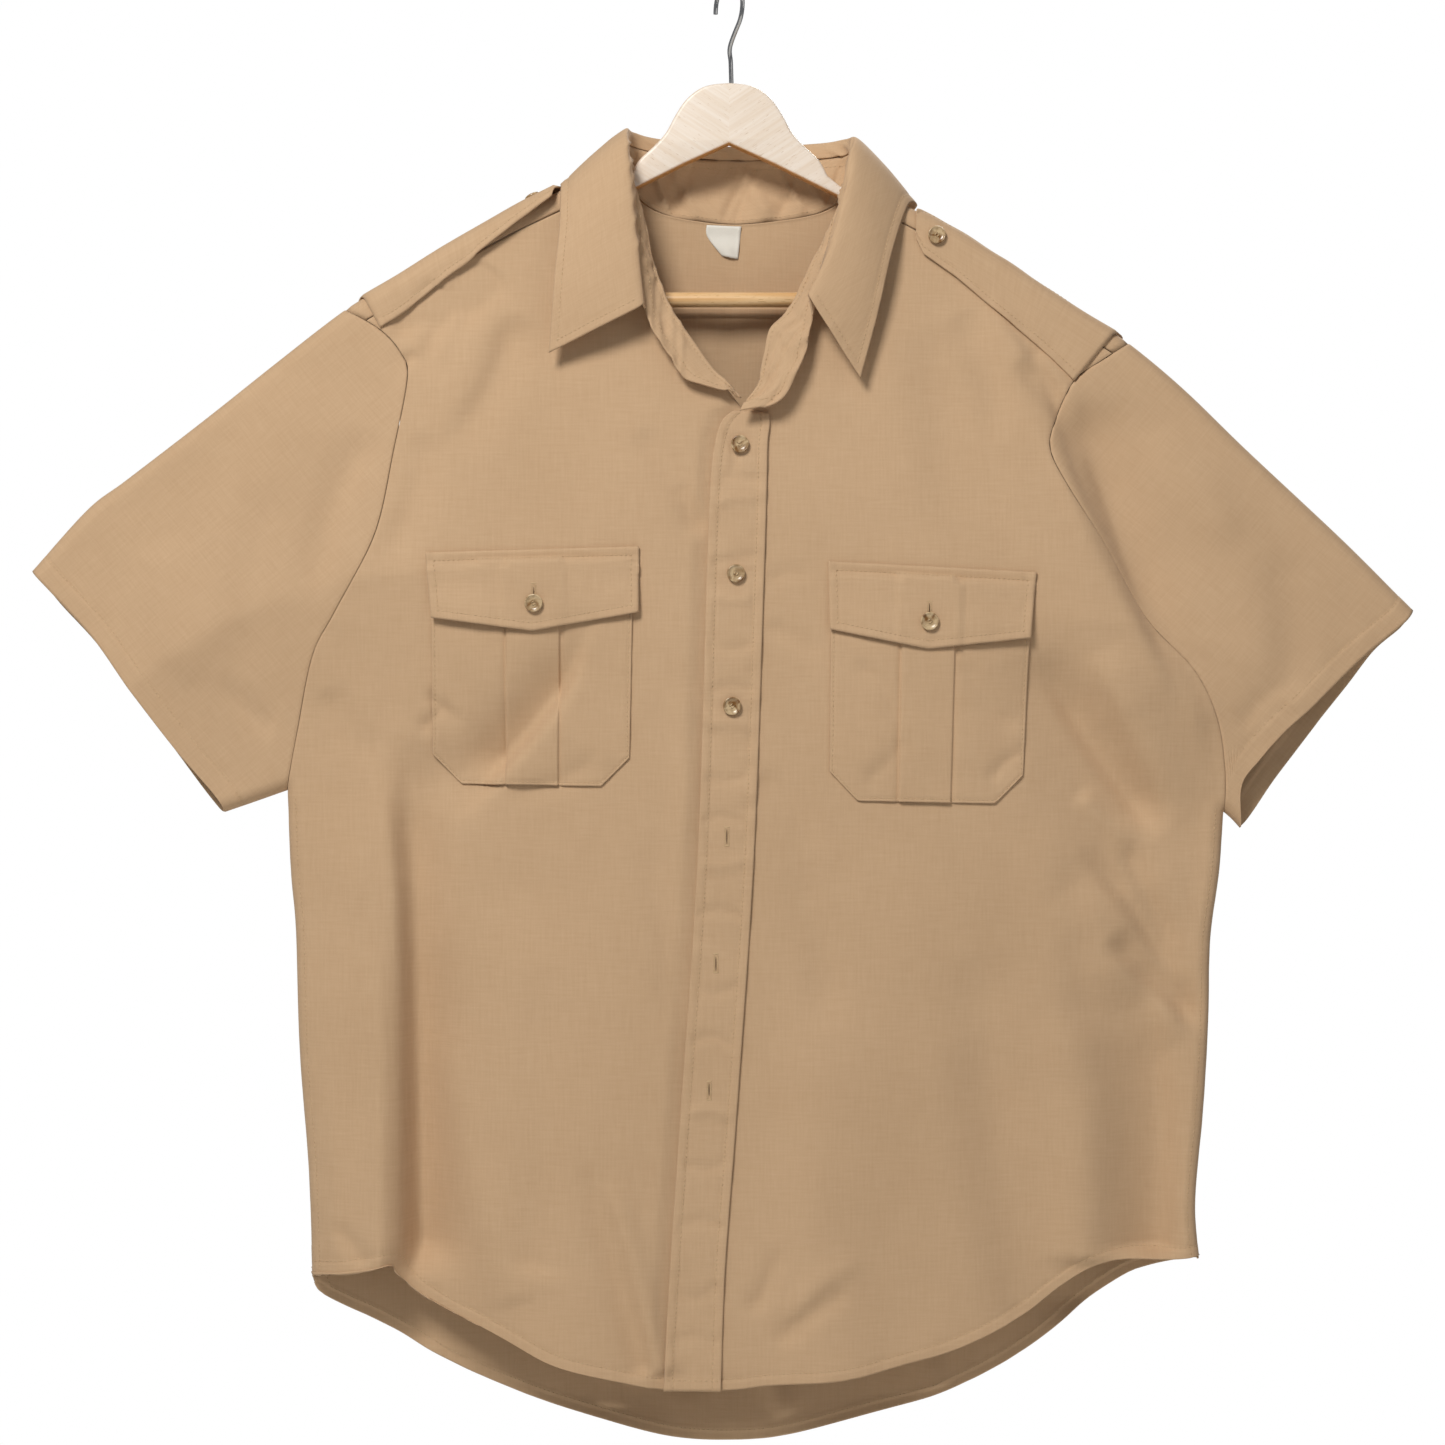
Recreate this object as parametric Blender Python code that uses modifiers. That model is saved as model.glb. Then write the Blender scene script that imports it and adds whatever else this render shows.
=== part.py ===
"""A short-sleeved khaki work shirt that hangs on a wooden hanger.

Units are metres, +Z is up and the shirt's front faces -Y. The origin is the point
of the hook's loop that rests on a rail. "Left" and "right" are the wearer's, so
the right front is at -X.

The shirt hangs nearly flat. Its outline in the XZ plane is where the cloth folds
or is seamed from front to back: the shoulder ridge, the top of each sleeve, the
underarm and the side seams. The front and the back sheet leave that outline round
a small roll and swell towards the middle, and the folds are added to them.
"""

import math

import bmesh
import bpy
import numpy as np
from mathutils import Vector
from mathutils.bvhtree import BVHTree

# Cloth
WALL = 0.0012
DOUBLE_WALL = 0.0016
SEAM_GAP = 0.0003
FRONT_TOP_GAP = 0.0006
LAID_GAP = 0.0006
ROLL_RADIUS = 0.010
ROLL_TURNS = (0.0, 6.0, 42.0, 90.0)
SWELL = 0.022
SWELL_REACH = 0.150
FOLD_FADE = 0.020
LAP = 0.0021
LAP_COLUMNS = (0.050, 0.043, 0.035, 0.018)
YOKE_FRONT_DROP = 0.014
YOKE_BACK_DROP = 0.057
LAP_START = 0.002
LAP_SLOPE = 0.006
FOLD_BEGINNING = 0.25
FOLD_END = 0.08
UNDER_PLACKET_TOP = (0.0210, -0.3000)
UNDER_PLACKET_INSET = 0.003
LAID_EDGE_TOP = (-0.0036, -0.2980)
LAID_EDGE_INSET = 0.001
PLACKET_HEM_RISE = 0.0006

# How finely the pieces are meshed, and how far beside a point a laid piece looks
SIDE_ROWS = 12
FRONT_ARMHOLE_ROWS = (1, 11)
BACK_ARMHOLE_ROWS = (3, 9)
ARMHOLE_ROLL_STRETCH = 1.1
FRONT_TOP_POINTS = 13
FRONT_RIGHT_COLUMNS = 12
FRONT_LEFT_COLUMNS = 15
BACK_COLUMNS = 18
YOKE_SHOULDER_COLUMNS = 10
YOKE_NECK_COLUMNS = 18
SLEEVE_ROWS = 10
STAND_POINTS = 49
STAND_ROWS = (0.0, 0.33, 0.67, 1.0)
FALL_POINTS = 41
PLACKET_ROWS = 37
PLACKET_COLUMNS = 4
PLACKET_REACH = 0.004
POCKET_ROWS = 9
POCKET_REACH = 0.005
FLAP_COLUMNS = 9
FLAP_ROWS = (0.0, 0.09, 0.36, 0.68, 1.0)
FLAP_REACH = 0.009
STRAP_POINT_ROWS = (0.0, 0.1)
STRAP_BODY_ROWS = 11
STRAP_BODY_START = 0.2
STRAP_WIDTH_POINTS = 8
SHOULDER_STEP = 0.002

# The outline where front and back meet, as (x, z) from the neck outwards and down
RIDGE_RIGHT = [
    (-0.0690, -0.1235), (-0.0900, -0.1300), (-0.1260, -0.1455), (-0.1506, -0.1570),
    (-0.1873, -0.1770), (-0.2193, -0.1970), (-0.2560, -0.2192),
]
RIDGE_LEFT = [
    (0.0820, -0.1320), (0.1000, -0.1400), (0.1540, -0.1690), (0.1940, -0.1940),
    (0.2140, -0.2075), (0.2340, -0.2205), (0.2667, -0.2415),
]
SLEEVE_TOP_RIGHT = [
    (-0.2560, -0.2192), (-0.2993, -0.2525), (-0.3493, -0.2922), (-0.4013, -0.3322),
    (-0.4273, -0.3520), (-0.4640, -0.3930),
]
SLEEVE_TOP_LEFT = [
    (0.2667, -0.2415), (0.3034, -0.2722), (0.3447, -0.3122), (0.4087, -0.3722),
    (0.4487, -0.4122), (0.4556, -0.4190),
]
UNDERARM_RIGHT = [(-0.2940, -0.5389), (-0.3146, -0.5462), (-0.3358, -0.5535)]
UNDERARM_LEFT = [(0.3293, -0.5531), (0.3350, -0.5580), (0.3405, -0.5640)]
SIDE_RIGHT = [
    (-0.2940, -0.5389), (-0.2920, -0.5922), (-0.2886, -0.6322), (-0.2860, -0.7122),
    (-0.2800, -0.7922), (-0.2775, -0.8640),
]
SIDE_LEFT = [
    (0.3293, -0.5531), (0.3267, -0.5922), (0.3207, -0.6389), (0.3194, -0.6922),
    (0.3160, -0.7522), (0.3107, -0.8122), (0.3134, -0.8510),
]

# Seams and free edges, as (x, z)
ARMHOLE_FRONT_RIGHT = [
    (-0.2560, -0.2192), (-0.2317, -0.2332), (-0.2176, -0.2489), (-0.2129, -0.2661),
    (-0.2222, -0.3157), (-0.2341, -0.3699), (-0.2599, -0.4195), (-0.2757, -0.4493),
    (-0.2870, -0.5022), (-0.2940, -0.5389),
]
ARMHOLE_FRONT_LEFT = [
    (0.2667, -0.2415), (0.2466, -0.2542), (0.2291, -0.2670), (0.2175, -0.2906),
    (0.2116, -0.3124), (0.2235, -0.3382), (0.2506, -0.3798), (0.2771, -0.4261),
    (0.3081, -0.4592), (0.3240, -0.4922), (0.3293, -0.5253), (0.3293, -0.5531),
]
ARMHOLE_BACK_RIGHT = [
    (-0.2560, -0.2192), (-0.2320, -0.2400), (-0.2220, -0.2620), (-0.2220, -0.3000),
    (-0.2340, -0.3700), (-0.2600, -0.4400), (-0.2830, -0.5000), (-0.2940, -0.5389),
]
ARMHOLE_BACK_LEFT = [
    (0.2667, -0.2415), (0.2430, -0.2620), (0.2330, -0.2850), (0.2350, -0.3300),
    (0.2500, -0.3900), (0.2780, -0.4500), (0.3080, -0.5100), (0.3293, -0.5531),
]
CUFF_FRONT_RIGHT = [
    (-0.4640, -0.3930), (-0.4440, -0.4139), (-0.4208, -0.4391), (-0.3969, -0.4723),
    (-0.3670, -0.5122), (-0.3400, -0.5440), (-0.3358, -0.5535),
]
CUFF_BACK_RIGHT = [
    (-0.4640, -0.3930), (-0.4480, -0.4139), (-0.4246, -0.4400), (-0.4004, -0.4735),
    (-0.3690, -0.5150), (-0.3430, -0.5490), (-0.3358, -0.5535),
]
CUFF_FRONT_LEFT = [
    (0.4556, -0.4190), (0.4467, -0.4292), (0.4171, -0.4535), (0.3853, -0.4843),
    (0.3681, -0.5002), (0.3521, -0.5186), (0.3400, -0.5360), (0.3405, -0.5640),
]
CUFF_BACK_LEFT = [
    (0.4556, -0.4190), (0.4508, -0.4293), (0.4320, -0.4460), (0.4136, -0.4705),
    (0.3825, -0.5102), (0.3641, -0.5337), (0.3479, -0.5575), (0.3405, -0.5640),
]
NECK_FRONT_RIGHT = [
    (-0.0645, -0.1400), (-0.0585, -0.1602), (-0.0505, -0.1898), (-0.0390, -0.2200),
    (-0.0230, -0.2443), (-0.0110, -0.2614), (0.0075, -0.2850),
]
NECK_FRONT_LEFT = [
    (0.0775, -0.1480), (0.0710, -0.1602), (0.0585, -0.1911), (0.0405, -0.2207),
    (0.0285, -0.2345), (0.0238, -0.2549), (0.0190, -0.2700), (0.0110, -0.2850),
]
NECK_BACK = [
    (-0.0655, -0.1400), (-0.0480, -0.1520), (-0.0200, -0.1580), (0.0050, -0.1597),
    (0.0300, -0.1580), (0.0600, -0.1530), (0.0775, -0.1440),
]
YOKE_SEAM = [(-0.1200, -0.2300), (0.0000, -0.2205), (0.1200, -0.2330)]
PLACKET_FREE_EDGE = [
    (-0.0046, -0.2950), (-0.0092, -0.3094), (-0.0122, -0.3356), (-0.0148, -0.4018),
    (-0.0206, -0.5827), (-0.0322, -0.7545), (-0.0396, -0.8639), (-0.0430, -0.9335),
]
PLACKET_SEWN_EDGE = [
    (0.0268, -0.2980), (0.0255, -0.3094), (0.0249, -0.3356), (0.0229, -0.4018),
    (0.0163, -0.5827), (0.0052, -0.7486), (-0.0027, -0.8541), (-0.0054, -0.9337),
]
HEM_FRONT_RIGHT = [
    (-0.2775, -0.8590), (-0.2558, -0.8567), (-0.2374, -0.8540), (-0.2228, -0.8515),
    (-0.2188, -0.8590), (-0.1991, -0.8761), (-0.1487, -0.9002), (-0.1144, -0.9165),
    (-0.0740, -0.9266), (-0.0432, -0.9325), (-0.0084, -0.9325),
]
HEM_FRONT_LEFT = [
    (-0.0420, -0.9325), (0.0000, -0.9325), (0.0263, -0.9293), (0.0784, -0.9246),
    (0.1170, -0.9157), (0.1509, -0.9066), (0.1942, -0.8862), (0.2192, -0.8680),
    (0.2419, -0.8544), (0.2623, -0.8495), (0.2963, -0.8502), (0.3134, -0.8482),
]
HEM_BACK = [
    (-0.2775, -0.8640), (-0.2731, -0.8757), (-0.2402, -0.8932), (-0.1991, -0.9167),
    (-0.1580, -0.9376), (-0.1064, -0.9591), (-0.0446, -0.9757), (0.0034, -0.9780),
    (0.0499, -0.9731), (0.1242, -0.9546), (0.1659, -0.9360), (0.2030, -0.9129),
    (0.2584, -0.8689), (0.2818, -0.8573), (0.3134, -0.8510),
]

# Folds: the line that each runs along, how far it stands out at its two ends
# (negative for a trough), and its width west (-X) and east (+X) of the line
FOLD_COLUMNS = ("line", "start", "end", "west", "east")
FRONT_FOLDS = [
    ([(-0.258, -0.50), (-0.238, -0.64), (-0.233, -0.78), (-0.231, -0.92)],
     0.003, 0.017, 0.040, 0.011),
    ([(-0.214, -0.60), (-0.210, -0.78), (-0.200, -0.93)], -0.003, -0.009, 0.014, 0.045),
    ([(0.155, -0.205), (0.198, -0.300), (0.244, -0.392), (0.270, -0.436),
      (0.300, -0.478), (0.314, -0.550)], 0.006, 0.012, 0.045, 0.013),
    ([(-0.190, -0.21), (-0.180, -0.30), (-0.160, -0.40)], 0.005, 0.001, 0.035, 0.035),
    ([(-0.215, -0.545), (-0.150, -0.500), (-0.085, -0.440)], -0.005, -0.003, 0.022, 0.022),
    ([(-0.140, -0.60), (-0.120, -0.76), (-0.110, -0.95)], 0.003, 0.008, 0.040, 0.040),
    ([(0.060, -0.66), (0.055, -0.80), (0.070, -0.95)], 0.001, 0.010, 0.030, 0.040),
    ([(0.190, -0.44), (0.235, -0.52), (0.275, -0.61)], -0.004, -0.007, 0.025, 0.025),
    ([(0.225, -0.60), (0.262, -0.66), (0.300, -0.71)], 0.004, 0.006, 0.024, 0.020),
    ([(0.150, -0.70), (0.200, -0.80), (0.235, -0.90)], -0.002, -0.007, 0.035, 0.030),
    ([(0.100, -0.20), (0.120, -0.30), (0.130, -0.37)], 0.004, 0.001, 0.030, 0.030),
    ([(0.238, -0.280), (0.262, -0.350), (0.300, -0.420)], -0.005, -0.004, 0.020, 0.030),
    ([(0.300, -0.30), (0.345, -0.39), (0.352, -0.50)], 0.003, 0.003, 0.030, 0.030),
    ([(-0.270, -0.26), (-0.320, -0.36), (-0.345, -0.48)], 0.003, 0.003, 0.030, 0.030),
]
BACK_FOLDS = [
    ([(-0.180, -0.22), (-0.165, -0.42), (-0.175, -0.62)], 0.006, 0.003, 0.040, 0.040),
    ([(0.185, -0.24), (0.170, -0.44), (0.180, -0.64)], 0.006, 0.003, 0.040, 0.040),
    ([(-0.060, -0.30), (-0.070, -0.60), (-0.085, -0.99)], 0.002, 0.010, 0.045, 0.045),
    ([(0.070, -0.34), (0.085, -0.62), (0.100, -0.99)], 0.002, 0.011, 0.045, 0.045),
    ([(-0.225, -0.58), (-0.220, -0.75), (-0.215, -0.92)], 0.002, 0.009, 0.030, 0.022),
    ([(0.255, -0.56), (0.240, -0.72), (0.235, -0.90)], 0.002, 0.009, 0.022, 0.030),
    ([(0.005, -0.50), (0.010, -0.75), (0.012, -0.99)], -0.002, -0.006, 0.035, 0.035),
    ([(-0.290, -0.28), (-0.335, -0.38), (-0.350, -0.50)], 0.003, 0.003, 0.030, 0.030),
    ([(0.300, -0.31), (0.340, -0.40), (0.355, -0.51)], 0.003, 0.003, 0.030, 0.030),
]

# The yoke's corners at the neck (x), and how far its edge bows outwards above them
NECK_CORNER_RIGHT = -0.0672
NECK_CORNER_LEFT = 0.0798
NECK_BOW = 0.0020
NECK_BOW_HALFWAY = 0.0015

# Stand and fall of the collar. Each row is one section: the seam to the neck, the
# stand's top, the crest where the fall turns over, the fall's free edge, and the
# direction, in degrees from +X, in which the fall lies outside the stand
STAND_COLUMNS = ("seam", "top")
STAND_SECTIONS = [
    ((0.0085, -0.0285, -0.2795), (0.0010, -0.0330, -0.2760)),
    ((-0.0099, -0.0270, -0.2613), (-0.0270, -0.0340, -0.2679)),
    ((-0.0217, -0.0250, -0.2448), (-0.0375, -0.0330, -0.2541)),
    ((-0.0336, -0.0225, -0.2277), (-0.0494, -0.0320, -0.2370)),
    ((-0.0402, -0.0210, -0.2159), (-0.0546, -0.0310, -0.2218)),
    ((-0.0487, -0.0190, -0.1909), (-0.0596, -0.0290, -0.1830)),
    ((-0.0560, -0.0165, -0.1602), (-0.0625, -0.0230, -0.1455)),
    ((-0.0630, -0.0105, -0.1370), (-0.0665, -0.0150, -0.1190)),
    ((-0.0665, 0.0000, -0.1225), (-0.0680, 0.0000, -0.1075)),
    ((-0.0620, 0.0105, -0.1390), (-0.0640, 0.0160, -0.1080)),
    ((-0.0460, 0.0138, -0.1515), (-0.0470, 0.0230, -0.1110)),
    ((-0.0200, 0.0150, -0.1572), (-0.0210, 0.0270, -0.1140)),
    ((0.0050, 0.0152, -0.1589), (0.0050, 0.0280, -0.1150)),
    ((0.0300, 0.0150, -0.1572), (0.0310, 0.0270, -0.1150)),
    ((0.0585, 0.0138, -0.1522), (0.0590, 0.0230, -0.1150)),
    ((0.0745, 0.0105, -0.1430), (0.0770, 0.0160, -0.1140)),
    ((0.0795, 0.0000, -0.1310), (0.0820, 0.0000, -0.1140)),
    ((0.0755, -0.0105, -0.1440), (0.0800, -0.0150, -0.1260)),
    ((0.0684, -0.0165, -0.1602), (0.0763, -0.0230, -0.1455)),
    ((0.0560, -0.0190, -0.1880), (0.0660, -0.0290, -0.1830)),
    ((0.0388, -0.0215, -0.2200), (0.0546, -0.0320, -0.2270)),
    ((0.0272, -0.0235, -0.2343), (0.0506, -0.0340, -0.2480)),
    ((0.0228, -0.0255, -0.2520), (0.0434, -0.0360, -0.2670)),
    ((0.0190, -0.0275, -0.2690), (0.0322, -0.0380, -0.2830)),
    ((0.0125, -0.0320, -0.2810), (0.0070, -0.0385, -0.2890)),
]
FALL_COLUMNS = ("section", "crest", "edge", "outward")
FALL_SECTIONS = [
    (4.0, (-0.0560, -0.0350, -0.2205), (-0.1185, -0.0300, -0.2507), 270),
    (5.0, (-0.0600, -0.0330, -0.1810), (-0.1155, -0.0300, -0.2062), 262),
    (6.0, (-0.0640, -0.0280, -0.1420), (-0.1120, -0.0240, -0.1682), 248),
    (7.0, (-0.0660, -0.0170, -0.1130), (-0.1115, -0.0080, -0.1385), 225),
    (8.0, (-0.0665, 0.0000, -0.0990), (-0.1110, 0.0130, -0.1370), 170),
    (9.0, (-0.0630, 0.0170, -0.0985), (-0.0980, 0.0310, -0.1500), 125),
    (10.0, (-0.0460, 0.0250, -0.1015), (-0.0600, 0.0390, -0.1640), 100),
    (12.0, (0.0050, 0.0300, -0.1060), (0.0050, 0.0430, -0.1730), 90),
    (14.0, (0.0590, 0.0250, -0.1045), (0.0750, 0.0390, -0.1700), 80),
    (15.0, (0.0770, 0.0170, -0.1030), (0.1120, 0.0310, -0.1580), 55),
    (16.0, (0.0822, 0.0000, -0.1050), (0.1260, 0.0130, -0.1480), 5),
    (17.0, (0.0800, -0.0170, -0.1180), (0.1190, -0.0080, -0.1500), -45),
    (18.0, (0.0765, -0.0280, -0.1420), (0.1080, -0.0240, -0.1820), -68),
    (19.0, (0.0665, -0.0340, -0.1810), (0.0980, -0.0320, -0.2250), -82),
    (20.0, (0.0520, -0.0370, -0.2150), (0.0864, -0.0330, -0.2677), -90),
]
FALL_ROLL = 0.0026

# The fall's profile from its crest: shares of the roll along the rise, shares of the
# hang to the edge, and shares of the roll outwards
FALL_PROFILE_COLUMNS = ("rise", "hang", "out")
FALL_PROFILE = [
    (-0.6, 0.0, 0.0), (0.4, 0.0, 1.0), (0.0, 0.10, 2.1), (0.0, 0.40, 2.0), (0.0, 0.70, 1.2),
    (0.0, 1.0, 0.0),
]

# Pockets and flaps
POCKET_MITRE = 0.019
POCKET_PLEAT_RISE = 0.0011
POCKET_PLEAT_EDGE = 0.0006
POCKET_COLUMNS = ("side", "outline", "pleat", "flap", "button")
POCKETS = [
    ("right", ((-0.196, -0.3925), (-0.0630, -0.3895), (-0.0656, -0.5360), (-0.196, -0.5340)),
     (0.374, 0.640),
     ((-0.200, -0.3821), (-0.0592, -0.3782), (-0.0590, -0.4215), (-0.1290, -0.4339),
      (-0.1960, -0.4250)),
     (-0.1280, -0.4155)),
    ("left", ((0.0672, -0.3990), (0.1990, -0.4060), (0.1938, -0.5476), (0.0662, -0.5450)),
     (0.355, 0.625),
     ((0.0652, -0.3879), (0.2022, -0.3950), (0.1982, -0.4385), (0.1304, -0.4457),
      (0.0662, -0.4326)),
     (0.1315, -0.4275)),
]

# Shoulder straps, a row from edge to edge: the places of its two ends along the ridge
# (x), and their lengths of cloth from the ridge, negative towards the front
STRAP_COLUMNS = ("front_x", "back_x", "front", "back")
STRAPS = {
    "right": [
        (-0.1110, -0.1110, -0.0010, 0.0150), (-0.1160, -0.1160, -0.0125, 0.0215),
        (-0.1400, -0.1400, -0.0165, 0.0205), (-0.1740, -0.1770, -0.0250, 0.0195),
        (-0.2020, -0.2120, -0.0306, 0.0170), (-0.2313, -0.2500, -0.0340, 0.0120),
    ],
    "left": [
        (0.1240, 0.1240, -0.0260, -0.0060), (0.1290, 0.1290, -0.0340, 0.0010),
        (0.1500, 0.1500, -0.0372, 0.0020), (0.1838, 0.1890, -0.0460, 0.0030),
        (0.2050, 0.2230, -0.0490, 0.0035), (0.2287, 0.2620, -0.0562, 0.0040),
    ],
}
STRAP_BUTTONS = {"right": (-0.1290, 0.0030), "left": (0.1375, -0.0170)}
STRAP_LIFT = 0.0012
STRAP_BUTTON_AIM = 0.01

# Buttons and label
BUTTON_RADIUS = 0.0060
BUTTON_HEIGHT = 0.0026
BUTTON_RIM = 0.0014
BUTTON_DISH = 0.0007
BUTTON_GIRTH_SHARE = 0.6
BUTTON_FOOT_SHARE = 0.85
BUTTON_STEPS = 14
BUTTON_SEAT_SHARE = 0.8
BUTTON_SEAT_POINTS = 9
BUTTON_REACH = 0.001
FRONT_BUTTONS = [(0.0072, -0.3109), (0.0045, -0.3960), (0.0019, -0.4831)]
LABEL_OUTLINE = [(-0.0148, -0.1605), (0.0082, -0.1612), (0.0062, -0.1830), (-0.0046, -0.1810)]
LABEL_TORN_CORNER = (-0.0146, -0.1680)
LABEL_EAST_MIDDLE = 0.0076
LABEL_COLUMNS = 3
LABEL_WALL = 0.0010

# Hanger
WOOD_THICKNESS = 0.012
WOOD_EDGE = 0.002
ARM_TOP = [
    (0.0000, -0.0684), (0.0110, -0.0694), (0.0200, -0.0725), (0.0290, -0.0800),
    (0.0360, -0.0905), (0.0420, -0.1015), (0.0500, -0.1105), (0.0600, -0.1200),
    (0.0655, -0.1300),
]
ARM_UNDER_RIDGE = (0.074, 0.092, 0.126, 0.155, 0.185, 0.209)
ARM_CLEARANCE = 0.0056
ARM_LOWER = [
    (0.2140, -0.2225), (0.1940, -0.2240), (0.1940, -0.2055), (0.1700, -0.1950),
    (0.1240, -0.1700), (0.0680, -0.1415), (0.0300, -0.1225), (0.0000, -0.1088),
]
BAR_RADIUS = 0.0050
BAR_HEIGHT = -0.2122
BAR_HALF_LENGTH = 0.1937
BAR_SEGMENTS = 16
BAR_SHARP_ANGLE = math.radians(40)
HOOK_WIRE = 0.0015
HOOK_RADIUS = 0.0190
HOOK_TURN = math.radians(62)
HOOK_LOOP_START = math.radians(182)
HOOK_LOOP_END = math.radians(-38)
HOOK_LOOP_POINTS = 23
HOOK_NECK = [(0.0008, -0.0040, -0.0440), (0.0012, 0.0, -0.0540), (0.0016, 0.0, -0.0679)]
HOOK_NECK_START = 0.25
HOOK_NECK_POINTS = 8


def section_of(points, fraction):
    """Points on a smooth line through the given ones, by fraction of its rows."""
    rows = np.asarray(points, float)
    place = np.clip(np.asarray(fraction, float), 0.0, 1.0) * (len(rows) - 1)
    first = np.minimum(place.astype(int), len(rows) - 2)
    part = (place - first)[..., None]
    before = rows[np.maximum(first - 1, 0)]
    start = rows[first]
    end = rows[first + 1]
    after = rows[np.minimum(first + 2, len(rows) - 1)]
    leave = 0.5 * (end - before)
    arrive = 0.5 * (after - start)
    return (
        start
        + leave * part
        + (3 * (end - start) - 2 * leave - arrive) * part**2
        + (2 * (start - end) + leave + arrive) * part**3
    )


def smooth_line(points, samples_a_row=8):
    """A dense smooth line through a few points."""
    return section_of(points, np.linspace(0, 1, samples_a_row * (len(points) - 1) + 1))


def along(line, fraction):
    """Points at these fractions of a line's length."""
    line = np.asarray(line, float)
    steps = np.linalg.norm(np.diff(line, axis=0), axis=1)
    length = np.concatenate([[0.0], np.cumsum(steps)])
    place = np.clip(fraction, 0.0, 1.0) * length[-1]
    columns = [np.interp(place, length, line[:, axis]) for axis in range(line.shape[1])]
    return np.stack(columns, axis=-1)


def line_length(line):
    return np.linalg.norm(np.diff(line, axis=0), axis=1).sum()


def shifted(line, distance):
    """A plane line moved sideways: positive is east of a line that runs down."""
    line = np.asarray(line, float)
    run = np.gradient(line, axis=0)
    run /= np.linalg.norm(run, axis=1)[:, None]
    return line + distance * np.stack([-run[:, 1], run[:, 0]], axis=-1)


def beside(points, line):
    """Each point's signed distance from a plane line, and its place along it."""
    points = np.asarray(points, float)
    flat = points.reshape(-1, 1, 2)
    start = line[None, :-1]
    run = (line[1:] - line[:-1])[None]
    length = np.maximum(np.sum(run**2, axis=-1), 1e-12)
    part = np.clip(np.sum((flat - start) * run, axis=-1) / length, 0.0, 1.0)
    offset = flat - start - part[..., None] * run
    distance = np.linalg.norm(offset, axis=-1)
    nearest = distance.argmin(axis=1)
    picked = np.arange(len(flat)), nearest
    east = -run[0, nearest, 1] * offset[picked][:, 0] + run[0, nearest, 0] * offset[picked][:, 1]
    signed = distance[picked] * np.where(east < 0, -1.0, 1.0)
    place = (nearest + part[picked]) / (len(line) - 1)
    return signed.reshape(points.shape[:-1]), place.reshape(points.shape[:-1])


def ease(value):
    value = np.clip(value, 0.0, 1.0)
    return value * value * (3.0 - 2.0 * value)


CLOSED_EDGES = [
    smooth_line(edge)
    for edge in (
        RIDGE_RIGHT + SLEEVE_TOP_RIGHT[1:],
        RIDGE_LEFT + SLEEVE_TOP_LEFT[1:],
        UNDERARM_RIGHT,
        UNDERARM_LEFT,
        SIDE_RIGHT,
        SIDE_LEFT,
    )
]
SHOULDER_LINE = np.array(
    [tuple(point) for point in smooth_line(RIDGE_RIGHT + SLEEVE_TOP_RIGHT[1:])[::-1]]
    + [tuple(point) for point in smooth_line(RIDGE_LEFT + SLEEVE_TOP_LEFT[1:])]
)


def edge_distance(points):
    return np.min([np.abs(beside(points, edge)[0]) for edge in CLOSED_EDGES], axis=0)


def fold_height(points, table):
    """How far the folds of a table stand out at each (x, z)."""
    total = np.zeros(np.asarray(points).shape[:-1])
    for values in table:
        fold = dict(zip(FOLD_COLUMNS, values))
        offset, place = beside(points, smooth_line(fold["line"]))
        width = np.where(offset < 0, fold["west"], fold["east"])
        height = fold["start"] + (fold["end"] - fold["start"]) * place
        ends = ease(place / FOLD_BEGINNING) * ease((1.0 - place) / FOLD_END)
        total += height * ends * np.exp(-((offset / width) ** 2))
    return total


def stand_out(points, table):
    """The outer face's distance from the middle plane."""
    distance = edge_distance(points)
    turn = 1.0 - np.clip(distance / ROLL_RADIUS, 0.0, 1.0)
    roll = ROLL_RADIUS * np.sqrt(1.0 - turn**2)
    swell = SWELL * (1.0 - np.exp(-((distance / SWELL_REACH) ** 2)))
    return roll + swell + fold_height(points, table) * ease(distance / FOLD_FADE)


def front_sheet(points, inward=0.0):
    """(x, y, z) of the front's outer face at each (x, z)."""
    points = np.asarray(points, float)
    y = inward - stand_out(points, FRONT_FOLDS)
    return np.stack([points[..., 0], y, points[..., 1]], axis=-1)


def back_sheet(points):
    points = np.asarray(points, float)
    y = stand_out(points, BACK_FOLDS)
    return np.stack([points[..., 0], y, points[..., 1]], axis=-1)


def ridge_height(x):
    return np.interp(x, SHOULDER_LINE[:, 0], SHOULDER_LINE[:, 1])


def drop_of(length):
    """How far below the ridge a length of cloth from it reaches, round the roll."""
    quarter = ROLL_RADIUS * math.pi / 2
    turned = ROLL_RADIUS * (1.0 - np.cos(np.minimum(np.abs(length), quarter) / ROLL_RADIUS))
    return turned + np.maximum(np.abs(length) - quarter, 0.0)


def length_of(drop):
    """The length of cloth from the ridge that reaches so far below it."""
    turned = ROLL_RADIUS * np.arccos(1.0 - np.clip(drop / ROLL_RADIUS, 0.0, 1.0))
    return turned + np.maximum(drop - ROLL_RADIUS, 0.0)


def shoulder_sheet(x, length):
    """(x, y, z) over the ridge: negative lengths are on the front, positive on the back."""
    points = np.stack([x, ridge_height(x) - drop_of(length)], axis=-1)
    front = front_sheet(points)
    back = back_sheet(points)
    y = np.where(length < 0, front[..., 1], back[..., 1])
    return np.stack([points[..., 0], y, points[..., 1]], axis=-1)


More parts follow.
